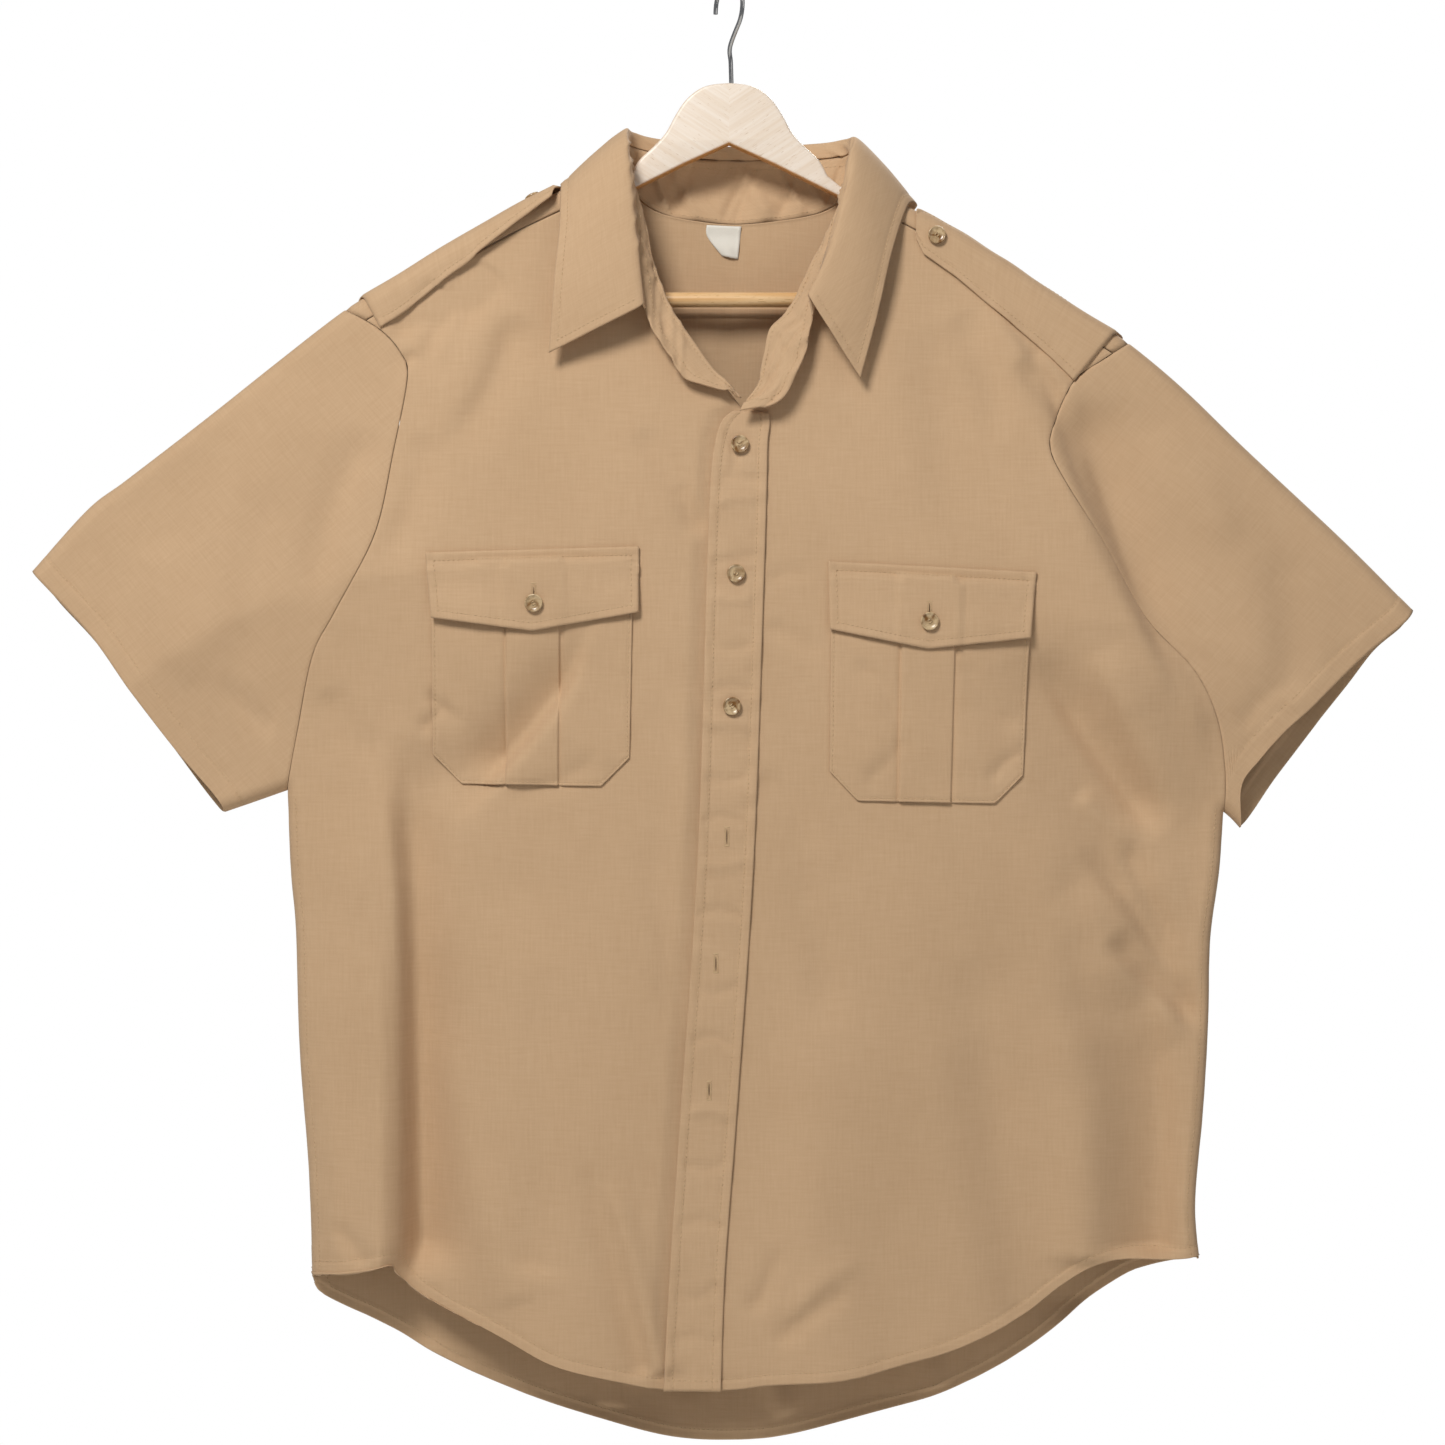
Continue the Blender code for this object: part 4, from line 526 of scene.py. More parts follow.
def uneven_cloth(points, seed):
    """Soft random hollows and swellings all over a panel."""
    total = np.zeros(points.shape[:-1])
    x, z = np.moveaxis(points, -1, 0)
    cosine, sine = UNEVEN_SLANT
    slanted = np.stack([x * cosine + z * sine, (z * cosine - x * sine) * UNEVEN_STRETCH], axis=-1)
    for number, (height, spacing) in enumerate(UNEVEN):
        knots = np.random.default_rng(seed + number).uniform(-1, 1, (UNEVEN_KNOTS, UNEVEN_KNOTS))
        position = slanted / spacing + 60.0
        first = np.floor(position).astype(int)
        across, down = np.moveaxis(ease(position - first), -1, 0)
        column, row = np.moveaxis(first, -1, 0)
        upper, lower = (
            knots[column % UNEVEN_KNOTS, line % UNEVEN_KNOTS] * (1 - across)
            + knots[(column + 1) % UNEVEN_KNOTS, line % UNEVEN_KNOTS] * across
            for line in (row, row + 1)
        )
        total += height * (upper * (1 - down) + lower * down)
    return total


def stand_out(points, folds, seed):
    """The outer face's distance from the middle plane. It clears the hanger's arms."""
    distance = np.min([np.abs(beside(points, edge)[0]) for edge in CLOSED_EDGES], axis=0)
    turn = 1.0 - np.clip(distance / ROLL_RADIUS, 0.0, 1.0)
    plain = ROLL_RADIUS * np.sqrt(1.0 - turn**2) + SWELL * (1.0 - fading(distance, SWELL_REACH))
    relief = fold_height(points, folds) + uneven_cloth(points, seed)
    over_arms = np.where(points[..., 1] > ARM_REACH, np.minimum(plain, OVER_ARM), -1.0)
    return np.maximum(plain + relief * ease(distance / FOLD_FADE), over_arms)


def sheet(face, points, gap=0.0):
    """(x, y, z) of the front's or the back's outer face at each (x, z), a gap further out."""
    sign, folds, seed = {"front": (-1.0, FRONT_FOLDS, 11), "back": (1.0, BACK_FOLDS, 23)}[face]
    return np.insert(points, 1, sign * (gap + stand_out(points, folds, seed)), axis=-1)


def ridge_height(x):
    return np.interp(x, SHOULDER_LINE[:, 0], SHOULDER_LINE[:, 1])


def drop_of(length):
    """How far below the ridge a length of cloth from it reaches, round the roll."""
    quarter = ROLL_RADIUS * math.pi / 2
    turned = ROLL_RADIUS * (1.0 - np.cos(np.minimum(np.abs(length), quarter) / ROLL_RADIUS))
    return turned + np.maximum(np.abs(length) - quarter, 0.0)


def length_of(drop):
    """The length of cloth from the ridge that reaches so far below it."""
    turned = ROLL_RADIUS * np.arccos(1.0 - np.clip(drop / ROLL_RADIUS, 0.0, 1.0))
    return turned + np.maximum(drop - ROLL_RADIUS, 0.0)


def patch(top, bottom, left, right, across, down):
    """A plane patch. left and right hold a point a row, and across each row's fractions."""
    u = across[..., None]
    v = down[:, None, None]
    corners = (
        (1 - u) * (1 - v) * top[0] + u * (1 - v) * top[-1]
        + (1 - u) * v * bottom[0] + u * v * bottom[-1]
    )
    rows = (1 - v) * along(top, across) + v * along(bottom, across)
    return rows + (1 - u) * left[:, None] + u * right[:, None] - corners


HEM_STEPS = in_metres([0, 1.2, 2.4, 3.6, 4.8, 6, 7.2, 8.4, 9.6, 11, 13, 15.5])
FREE_STEPS = in_metres([0, 1.5, 3, 4.6, 6.2, 8, 10])


def steps_across(width, start, inner, end):
    """Fractions across a width: steps from its start, even ones, and steps to its end."""
    first = np.asarray(start) / width
    last = 1.0 - np.asarray(end)[::-1] / width
    return np.concatenate([first, np.linspace(first[-1], last[0], inner + 1)[1:-1], last])


def fractions_of(points):
    return lengths_of(points) / lengths_of(points)[-1]


def normals_of(points, facing):
    """The outward direction at each point of a grid, facing the given way at its middle."""
    normal = np.cross(np.gradient(points, axis=1), np.gradient(points, axis=0))
    normal /= np.maximum(np.linalg.norm(normal, axis=-1), 1e-12)[..., None]
    middle = normal[normal.shape[0] // 2, normal.shape[1] // 2]
    return normal if middle @ np.array(facing, float) > 0 else -normal


def from_side(grid, side):
    """A view of a grid, turned so that its first index runs along one of its sides."""
    turned = {"first": grid, "last": grid[:, ::-1], "top": grid, "bottom": grid[::-1]}[side]
    return turned if side in ("first", "last") else turned.swapaxes(0, 1)


def side_distance(points, side, axis=1):
    """Each point's length of cloth from one side of its grid, or with axis 0 along it."""
    length = np.empty(points.shape[:2])
    steps = np.linalg.norm(np.diff(from_side(points, side), axis=axis), axis=-1)
    from_side(length, side)[...] = np.insert(np.cumsum(steps, axis=axis), 0, 0.0, axis=axis)
    return length


def gaps_of(points, *sides):
    return {side: side_distance(points, side) for side in sides}


def sewn(distance, place, inset, seed, layers=0.0005, groove=0.0006, pucker=0.0008, spacing=0.009):
    """The relief of a sewn edge: more layers out to the stitches, a groove at them, puckers."""
    layer = layers * (1.0 - ease((distance - inset + 0.001) / 0.002))
    dent = groove * fading(distance - inset, 0.0011)
    slant = place + distance * 0.35 * uneven(place, 0.05, seed + 1)
    waves = uneven(slant, spacing, seed) * (0.55 + 0.45 * uneven(place, 0.06, seed + 2))
    return layer - dent + pucker * waves * fading(distance - inset * 0.7, 0.0075)


def seam_dip(distance, depth=0.0006, width=0.0010):
    """Cloth turns in at a seam between two pieces."""
    return -depth * fading(distance, width)


def put(name, mesh, finish, node=None):
    """Adds a finished piece that rides on the one body, in place of a node if one is given."""
    piece = add_object(name, mesh)
    piece.data.materials.append(finish)
    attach(piece, "root")
    if node:
        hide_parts(node)
    return piece


def cloth(node, points, flat, facing, wall=CLOTH_WALL, closed=False, name=None):
    """A cloth shell whose outer face is the grid of points. flat is each point's cut place."""
    name = name or node + "_cloth"
    rows, columns = points.shape[:2]
    form = bmesh.new()
    bmesh.ops.create_grid(form, x_segments=columns - 1, y_segments=rows - 1, size=0.5)
    mesh = bpy.data.meshes.new(name)
    form.to_mesh(mesh)
    form.clear()
    grid = np.empty(3 * len(mesh.vertices), np.float32)
    mesh.vertices.foreach_get("co", grid)
    share = grid.reshape(-1, 3)[:, :2] + 0.5
    column, row = np.rint(share * (columns - 1, rows - 1)).astype(int).T
    mesh.vertices.foreach_set("co", points[row, column].astype(np.float32).ravel())
    corner = np.empty(len(mesh.loops), np.int32)
    mesh.loops.foreach_get("vertex_index", corner)
    layer = mesh.uv_layers.new(name="cloth")
    layer.uv.foreach_set("vector", flat[row, column][corner].astype(np.float32).ravel())
    form.from_mesh(mesh)
    if closed:
        bmesh.ops.remove_doubles(form, verts=form.verts, dist=0.00001)
    spot = Vector(points[rows // 2, columns // 4 if closed else columns // 2])
    nearest = min(form.faces, key=lambda face: (face.calc_center_median() - spot).length)
    nearest.normal_update()
    if nearest.normal.dot(Vector(facing)) < 0:
        bmesh.ops.reverse_faces(form, faces=form.faces)
    form.to_mesh(mesh)
    form.free()
    mesh.shade_smooth()
    piece = put(name, mesh, khaki, node)
    thickness = piece.modifiers.new("wall", "SOLIDIFY")
    thickness.thickness = wall
    thickness.offset = -1.0
    return piece


# Sewing thread: cotton-wrapped polyester, a little paler than the cloth, in stitches
# 2.5 mm long. The real thread is 0.3 mm thick and is drawn wider so that it shows.
STITCH_LENGTH = 0.0024
STITCH_PITCH = 0.0031
STITCH_WIDTH = 0.00055
STITCH_HEIGHT = 0.00045
THREAD_TWIST = 0.004


def mottled(name, roughness, spacing, dark, light, distortion=0.0, clear=(0.0, 1.0), **constants):
    """A material that varies between two colours in soft patches, and its pattern."""
    made, tree, shader = new_material(name, roughness, **constants)
    place = add_node(tree, "TexCoord").outputs["Object"]
    pattern = add_node(tree, "TexNoise", {
        "Vector": place, "Scale": 1 / spacing, "Detail": 2.0, "Distortion": distortion,
    })
    share = add_node(tree, "MapRange", {"Value": pattern, "From Min": clear[0], "From Max": clear[1]})
    colour = add_node(tree, "Mix", {0: share, 6: linear(dark), 7: linear(light)}, data_type="RGBA")
    tree.links.new(colour.outputs[2], shader.inputs["Base Color"])
    return made, tree, shader, pattern


thread = mottled("sewing_thread", 0.7, THREAD_TWIST, "#B08F66", "#DCC39C", Sheen_Weight=0.2)[0]


def mesh_of(form, name, sharp=None):
    """Ends a bmesh as a smooth mesh. Its edges are sharp above an angle, if one is given."""
    mesh = bpy.data.meshes.new(name)
    form.to_mesh(mesh)
    form.free()
    mesh.shade_smooth()
    if sharp:
        mesh.set_sharp_from_angle(angle=math.radians(sharp))
    return mesh


def contour(points, normals, distance, value, side):
    """The line on a grid at one distance from a side, as points with their normals."""
    path = []
    for line, upright, gone in zip(*[from_side(grid, side) for grid in (points, normals, distance)]):
        last = int(np.argmax(gone > value))
        if last > 0:
            share = (value - gone[last - 1]) / (gone[last] - gone[last - 1])
            place = line[last - 1] * (1 - share) + line[last] * share
            path.append(np.concatenate([place, upright[last]]))
    return np.array(path)


def sew(name, paths, trim=0.003):
    """One mesh of stitches along lines of points with normals."""
    form = bmesh.new()
    for path in paths:
        reach = lengths_of(path[:, :3])
        count = max(2, round((reach[-1] - 2 * trim) / STITCH_PITCH))
        places = np.linspace(trim, reach[-1] - trim, count)
        spots = np.stack([np.interp(places, reach, axis) for axis in path.T], axis=-1)
        ends = np.stack([np.interp(places + 0.0005, reach, axis) for axis in path[:, :3].T], axis=-1)
        for spot, end in zip(spots, ends):
            up = Vector(spot[3:]).normalized()
            run = Vector(end - spot[:3])
            run = (run - up * run.dot(up)).normalized()
            lay = Matrix((run * STITCH_LENGTH, up.cross(run) * STITCH_WIDTH, up * STITCH_HEIGHT))
            lay = lay.transposed().to_4x4()
            lay.translation = Vector(spot[:3]) + up * STITCH_HEIGHT * 0.12
            bmesh.ops.create_icosphere(form, subdivisions=1, radius=0.5, matrix=lay)
    return put(name, mesh_of(form, name), thread)


# The two fronts: each is cut from the shoulder seam to the curved hem, sewn to the
# sleeve and to the back, and hemmed with a narrow turned edge. The left one lies over
# the right. They carry the pockets.
FRONT_COLUMNS = 84
FRONT_ROWS = 200
FRONT_TOP_GAP = 0.0006
YOKE_FRONT_DROP = 0.014
HEM_STITCH = 0.0070
SIDE_STITCH = 0.0062
LAP = 0.0021
LAP_START = 0.010
LAP_EASE = 0.006
EDGE_POINTS = 120
NECK_CORNER = {"right": -0.0672, "left": 0.0798}
INWARD = {"right": SEAM_GAP, "left": -SEAM_GAP}
# Each front's inner edge: its top, the placket's edge that it follows, how far to the
# east of it, and the seed of its puckers
FRONT_EDGES = {
    "right": ((0.0210, -0.3000), PLACKET_SEWN_EDGE, -0.003, 31),
    "left": ((-0.0036, -0.2980), PLACKET_FREE_EDGE, 0.001, 41),
}


def seam_mark(armhole, seam_drop):
    """The share of an armhole's length at which the yoke's seam meets it."""
    line = smooth_line(armhole)
    drop = ridge_height(line[:, 0]) - line[:, 1]
    return fractions_of(line)[np.argmax(drop > seam_drop)]


def panel_side(side, armhole, mark, hem_end, seam_gap):
    """A panel's outer edge: down the armhole from the yoke's seam and down the side."""
    edge = shifted(smooth_line(armhole[side]), INWARD[side])
    upper = along(edge, np.linspace(mark[side] + seam_gap / lengths_of(edge)[-1], 1, EDGE_POINTS))
    line = smooth_line(SIDE[side])
    upper[-1] = line[0] - (0, SEAM_GAP)
    lower = along(line, np.linspace(0, 1, EDGE_POINTS)[1:])
    lower[-1] = hem_end
    return np.concatenate([upper, lower])


def front_top(seam_point, neck_x):
    """A front's top edge, from the armhole to the neck, just below the yoke's."""
    x = np.linspace(seam_point[0], neck_x, 25)
    drop = np.linspace(ridge_height(x[0]) - seam_point[1], YOKE_FRONT_DROP + FRONT_TOP_GAP, 25)
    return np.stack([x, ridge_height(x) - drop], axis=-1)


def panel_plane(top, hem, outer_rows, inner_rows, columns, inner_steps, down):
    """A panel in the middle plane, with close columns at its edges."""
    widths = np.linalg.norm(inner_rows - outer_rows, axis=1)
    across = np.array([steps_across(width, ROLL_STEPS, columns, inner_steps) for width in widths])
    return patch(top, hem, outer_rows, inner_rows, across, down)


def panel_relief(plane, hem, armhole, side, seed):
    """A panel's sewn hem, armhole and side seam, and how far its points are from hem and side."""
    hem_gap, hem_share = beside(plane, hem)
    seam_gap, seam_share = beside(plane, smooth_line(armhole))
    side_gap, side_share = beside(plane, smooth_line(side))
    hem_gap, side_gap = np.abs([hem_gap, side_gap])
    relief = sewn(hem_gap, hem_share * lengths_of(hem)[-1], HEM_STITCH, seed) + seam_dip(seam_gap)
    relief += 0.0005 * uneven(seam_share * 0.4, 0.016, seed + 5) * fading(seam_gap, 0.011)
    relief -= 0.0004 * fading(side_gap - SIDE_STITCH, 0.0012)
    relief += 0.0005 * uneven(side_share * 0.33, 0.011, seed + 7) * fading(side_gap, 0.010)
    return relief, hem_gap, side_gap


SEAM_FRONT = {side: seam_mark(ARMHOLE_FRONT[side], YOKE_FRONT_DROP) for side in SIDES}
fronts = {}
for side, (corner, placket_edge, east, seed) in FRONT_EDGES.items():
    hem = smooth_line(HEM_FRONT[side])
    outer = panel_side(side, ARMHOLE_FRONT, SEAM_FRONT, hem[0], FRONT_TOP_GAP)
    top = front_top(outer[0], NECK_CORNER[side])
    edge = smooth_line(np.concatenate([[corner], placket_edge[1:]])) + (east, 0.0)
    inner = np.concatenate([top[-1:], smooth_line(NECK_FRONT[side]), edge[:-1], hem[-1:]])
    down = steps_across(lengths_of(outer)[-1], FREE_STEPS[:3], FRONT_ROWS, HEM_STEPS)
    inner_rows = along(inner, down)
    inner_rows[np.linalg.norm(inner_rows - edge[0], axis=1).argmin()] = edge[0]
    plane = panel_plane(top, hem, along(outer, down), inner_rows, FRONT_COLUMNS, FREE_STEPS[:4], down)
    relief, hem_gap, side_gap = panel_relief(plane, hem, ARMHOLE_FRONT[side], SIDE[side], seed)
    points = sheet("front", plane, SEAM_GAP / 2)
    points[..., 1] -= relief
    if side == "right":
        under = beside(plane, smooth_line(PLACKET_FREE_EDGE))[0]
        points[..., 1] += LAP * ease((under + LAP_START) / LAP_EASE)
    normals = normals_of(points, FRONTWARD)
    fronts[side] = cloth("front_" + side, points, plane, FRONTWARD)
    lower = slice(len(points) // 2, None)
    sew(f"stitches_front_{side}_cloth", [
        contour(points, normals, hem_gap, HEM_STITCH, "bottom"),
        contour(points[lower], normals[lower], side_gap[lower], SIDE_STITCH, "first"),
    ])


# The back: one panel below the yoke, longer than the fronts, with the same narrow hem.
# Its upper edge lies under the yoke and its side edges are turned in. Its wrong side
# shows below the fronts.
BACK_COLUMNS = 124
BACK_ROWS = 170
YOKE_BACK_DROP = 0.057
SEAM_ALLOWANCE = in_metres([(0, 6.2), (0, 4.5), (0, 2.5), (0, 0.8)])
UNDER_YOKE = 0.0019
SIDE_TURN = 0.0022
SIDE_IN = 0.0012

SEAM_BACK = {side: seam_mark(ARMHOLE_BACK[side], YOKE_BACK_DROP) for side in SIDES}
first_end, last_end = (along(smooth_line(ARMHOLE_BACK[side]), SEAM_BACK[side])[None] for side in SIDES)
yoke_seam = smooth_line(np.concatenate([first_end, YOKE_SEAM, last_end]))

seam_line = yoke_seam - (0, SEAM_GAP / 2)
hem = smooth_line(HEM_BACK)
outer = panel_side("right", ARMHOLE_BACK, SEAM_BACK, hem[0], SEAM_GAP / 2)
inner = panel_side("left", ARMHOLE_BACK, SEAM_BACK, hem[-1], SEAM_GAP / 2)
seam_line[[0, -1]] = outer[0], inner[0]
down = steps_across(lengths_of(outer)[-1], FREE_STEPS[:4], BACK_ROWS, HEM_STEPS)
plane = panel_plane(seam_line, hem, along(outer, down), along(inner, down), BACK_COLUMNS, ROLL_STEPS, down)
plane = np.concatenate([plane[:1] + SEAM_ALLOWANCE[:, None], plane])
relief, hem_gap, _ = panel_relief(plane, hem, ARMHOLE_BACK["right"], SIDE["right"], 51)
relief += seam_dip(beside(plane, smooth_line(ARMHOLE_BACK["left"]))[0])
relief += seam_dip(beside(plane, seam_line)[0])
points = sheet("back", plane, SEAM_GAP / 2)
points[..., 1] += relief
points[:len(SEAM_ALLOWANCE), :, 1] -= UNDER_YOKE
normals = normals_of(points, BACKWARD)
back = cloth(
    "back",
    np.concatenate([
        points[:, :1] + (SIDE_IN, -SIDE_TURN, 0.0), points, points[:, -1:] + (-SIDE_IN, -SIDE_TURN, 0.0),
    ], axis=1),
    np.concatenate([plane[:, :1] - (SIDE_TURN, 0.0), plane, plane[:, -1:] + (SIDE_TURN, 0.0)], axis=1),
    BACKWARD,
)
outside = contour(points, normals, hem_gap, HEM_STITCH, "bottom")
inside = np.concatenate([outside[:, :3] - outside[:, 3:] * CLOTH_WALL, -outside[:, 3:]], axis=1)
sew("stitches_back_hem", [outside, inside])


# The yoke: a piece across the back of the shoulders that comes over them to a seam just
# in front. It is topstitched along its back seam.
YOKE_COLUMNS = 150
YOKE_ROWS = 46
YOKE_STITCH = 0.0020
NECK_CURVE = ((0.0015, 0.5), (0.0020, 0.0))   # how far the neck's edge is out, at shares of the front


def shoulder_sheet(x, length):
    """(x, y, z) over the ridge: negative lengths are on the front, positive on the back."""
    points = np.stack([x, ridge_height(x) - drop_of(length)], axis=-1)
    y = np.where(length < 0, sheet("front", points)[..., 1], sheet("back", points)[..., 1])
    return np.insert(points, 1, y, axis=-1)


def over_ridge(points, sign):
    """(x, length from the ridge) of plane points on the back (+1) or the front (-1)."""
    drop = ridge_height(points[:, 0]) - points[:, 1]
    return np.stack([points[:, 0], sign * length_of(drop)], axis=-1)


def yoke_side(side):
    """The yoke's edge at an armhole, from its back seam over the ridge to its front seam."""
    back_edge = along(smooth_line(ARMHOLE_BACK[side]), np.linspace(SEAM_BACK[side], 0, 30))
    front_edge = along(smooth_line(ARMHOLE_FRONT[side]), np.linspace(0, SEAM_FRONT[side], 12)[1:])
    upper = over_ridge(back_edge, 1.0)
    upper[0, 1] -= SEAM_GAP / 2
    return np.concatenate([upper, over_ridge(front_edge, -1.0)]) + (INWARD[side], 0)


lower = over_ridge(yoke_seam + (0, SEAM_GAP / 2), 1.0)
first, last = map(yoke_side, SIDES)
lower[[0, -1]] = first[0], last[0]
front_length = -length_of(YOKE_FRONT_DROP)
right_neck = [(NECK_CORNER["right"] - out, front_length * share) for out, share in ((0.0, 1.0), *NECK_CURVE)]
left_neck = [(NECK_CORNER["left"] + out, front_length * share) for out, share in ((0.0, 1.0), *NECK_CURVE)]
neck = over_ridge(smooth_line(NECK_BACK), 1.0)
upper = np.concatenate([first[-1:], right_neck, neck, left_neck[::-1], last[-1:]])
corners = fractions_of(upper)[[1, -2]]
columns = np.concatenate([
    np.linspace(0, corners[0], YOKE_COLUMNS // 3),
    np.linspace(corners[0], corners[1], YOKE_COLUMNS // 3)[1:-1],
    np.linspace(corners[1], 1, YOKE_COLUMNS // 3),
])
down = steps_across(lengths_of(first)[-1], FREE_STEPS[:5], YOKE_ROWS, FREE_STEPS[:3])
across = np.broadcast_to(columns, (len(down), len(columns)))
flat = patch(lower, upper, along(first, down), along(last, down), across, down)
points = shoulder_sheet(flat[..., 0], flat[..., 1])
facing = (0, 1, 0.3)
normals = normals_of(points, facing)
gaps = gaps_of(points, "top", "first", "last", "bottom")
relief = sewn(gaps["top"], flat[..., 0], YOKE_STITCH, 61, layers=0.0003, pucker=0.0003)
relief += sum(seam_dip(gap) for gap in gaps.values())
points = points + normals * relief[..., None]
yoke = cloth("back_yoke", points, flat, facing, name="yoke_cloth")
sew("stitches_yoke", [contour(points, normals, gaps["top"], YOKE_STITCH, "top")])


# The sleeves: short and wide, each one piece sewn into a tube under the arm and hemmed
# 13 mm deep. The armhole's seam turns both cloths in.
SLEEVE_ROWS = 66
SLEEVE_HALF = 44
SLEEVE_HEM = 0.0130
SLEEVE_END_STEPS = in_metres([0, 2, 4, 6, 8, 9.5, 11, 12.2, 13.4, 14.6, 16, 18])
SLEEVE_GRAIN = (0.77, 0.64)
SLEEVE_FACES = [("front", -1.0, ARMHOLE_FRONT, CUFF_FRONT), ("back", 1.0, ARMHOLE_BACK, CUFF_BACK)]

for side, seed in (("right", 71), ("left", 81)):
    top_line = smooth_line(SLEEVE_TOP[side])
    under_line = smooth_line(UNDERARM[side])
    down = steps_across(lengths_of(top_line)[-1], FREE_STEPS[:3], SLEEVE_ROWS, SLEEVE_END_STEPS)
    halves = []
    flats = []
    paths = []
    for face, sign, armholes, cuffs in SLEEVE_FACES:
        armhole = smooth_line(armholes[side])
        cuff = smooth_line(cuffs[side])
        spans = lengths_of(armhole)[-1] * (1 - down) + lengths_of(cuff)[-1] * down
        across = np.array([steps_across(span, ROLL_STEPS, SLEEVE_HALF, ROLL_STEPS) for span in spans])
        plane = patch(armhole, cuff, along(top_line, down), along(under_line, down), across, down)
        half = sheet(face, plane)
        cuff_gap, cuff_place = beside(plane, cuff)
        cuff_gap = np.abs(cuff_gap)
        relief = sewn(cuff_gap, cuff_place * lengths_of(cuff)[-1], SLEEVE_HEM, seed,
                      layers=0.0006, pucker=0.0011, spacing=0.012)
        half[..., 1] += sign * (relief + seam_dip(beside(plane, armhole)[0]))
        half[:, (0, -1), 1] = 0.0
        halves.append(half)
        cosine, sine = SLEEVE_GRAIN[0], SLEEVE_GRAIN[1] * np.sign(plane[0, 0, 0])
        x, z = np.moveaxis(plane, -1, 0)
        flats.append(np.stack([x * cosine - z * sine, z * cosine + x * sine + sign], axis=-1))
        paths.append(contour(half, normals_of(half, (0, sign, 0)), cuff_gap, SLEEVE_HEM, "bottom"))
    ring = np.concatenate([halves[0], halves[1][:, -2::-1]], axis=1)
    flat = np.concatenate([flats[0], flats[1][:, -2::-1]], axis=1)
    sleeve = cloth("sleeve_" + side, ring, flat, FRONTWARD, closed=True)
    sew("stitches_sleeve_" + side, paths)


# The collar stand: a band of two cloths round the neck. Its two ends are turned open at
# the front, so that their inner faces show, wrinkled by the buttonhole's stiffening.
STAND_ROWS = 15
STAND_POINTS = 300
STAND_SEAM_STITCH = 0.0025
STAND_TOP_STITCH = 0.0060
TURNED_SHARE = 5.5 / 24
DOUBLE_CLOTH = 0.0011
# Each section's seam to the neck and its top, in millimetres, round the neck from the
# right end to the left one
STAND_SECTIONS = in_metres([
    ((8.5, -28.5, -279.5), (1, -33, -276)),
    ((-9.9, -27, -261.3), (-27, -34, -267.9)),
    ((-21.7, -25, -244.8), (-37.5, -33, -254.1)),
    ((-33.6, -22.5, -227.7), (-49.4, -32, -237)),
    ((-40.2, -21, -215.9), (-54.6, -31, -221.8)),
    ((-48.7, -19, -190.9), (-59.6, -29, -183)),
    ((-56, -16.5, -160.2), (-62.5, -23, -145.5)),
    ((-63, -10.5, -137), (-66.5, -15, -119)),
    ((-66.5, 0, -122.5), (-68, 0, -107.5)),
    ((-62, 10.5, -139), (-64, 16, -108)),
    ((-46, 13.8, -151.5), (-47, 23, -111)),
    ((-20, 15, -157.2), (-21, 27, -114)),
    ((5, 15.2, -158.9), (5, 28, -115)),
    ((30, 15, -157.2), (31, 27, -115)),
    ((58.5, 13.8, -152.2), (59, 23, -115)),
    ((74.5, 10.5, -143), (77, 16, -114)),
    ((79.5, 0, -131), (82, 0, -114)),
    ((75.5, -10.5, -144), (80, -15, -126)),
    ((68.4, -16.5, -160.2), (76.3, -23, -145.5)),
    ((56, -19, -188), (66, -29, -183)),
    ((38.8, -21.5, -220), (54.6, -32, -227)),
    ((27.2, -23.5, -234.3), (50.6, -34, -248)),
    ((22.8, -25.5, -252), (43.4, -36, -267)),
    ((19, -27.5, -269), (32.2, -38, -283)),
    ((12.5, -32, -281), (7, -38.5, -289)),
])

# The wrinkles: share of the length along and up the band, spacing, seed, height, and
# whether they lie in its turned ends
WRINKLES = [
    (1.0, 1.6, 0.014, 91, 0.0018, True), (0.25, 1.0, 0.009, 92, -0.0026, True),
    (1.0, 0.5, 0.015, 93, 0.0040, False), (1.0, -0.4, 0.010, 94, -0.0030, False),
]


def arc_map(points):
    """Cut places of a grid: the lengths of cloth along its columns and its rows."""
    return np.stack([side_distance(points, "top", 0), side_distance(points, "first", 0)], axis=-1)


places = np.linspace(0, 1, STAND_POINTS)
low = section_of(STAND_SECTIONS[:, 0], places)
high = section_of(STAND_SECTIONS[:, 1], places)
points = low + (high - low) * np.linspace(0, 1, STAND_ROWS)[:, None, None]
normals = normals_of(points, FRONTWARD)
gone = np.broadcast_to(lengths_of(low), points.shape[:2])
height = side_distance(points, "top")
turned_ends = fading(places, TURNED_SHARE) + fading(1 - places, TURNED_SHARE)
loose = ease(height / 0.006) * ease(side_distance(points, "bottom") / 0.005) * (1 - turned_ends)
relief = sewn(height, gone, STAND_SEAM_STITCH, 95, layers=0.0003, pucker=0.0003)
for round_neck, upwards, spacing, seed, rise, at_ends in WRINKLES:
    folded = crumpled(gone * round_neck + height * upwards, spacing, seed)
    relief = relief + rise * folded * (turned_ends if at_ends else loose)
points = points + normals * relief[..., None]
stand = cloth("collar_stand", points, arc_map(points), FRONTWARD, DOUBLE_CLOTH)
paths = []
for outward, depth in ((normals, 0.0), (-normals, DOUBLE_CLOTH)):
    for side, inset in (("top", STAND_SEAM_STITCH), ("bottom", STAND_TOP_STITCH)):
        path = contour(points, outward, side_distance(points, side), inset, side)
        path[:, :3] += path[:, 3:] * depth
        paths.append(path)
sew("stitches_stand", paths)


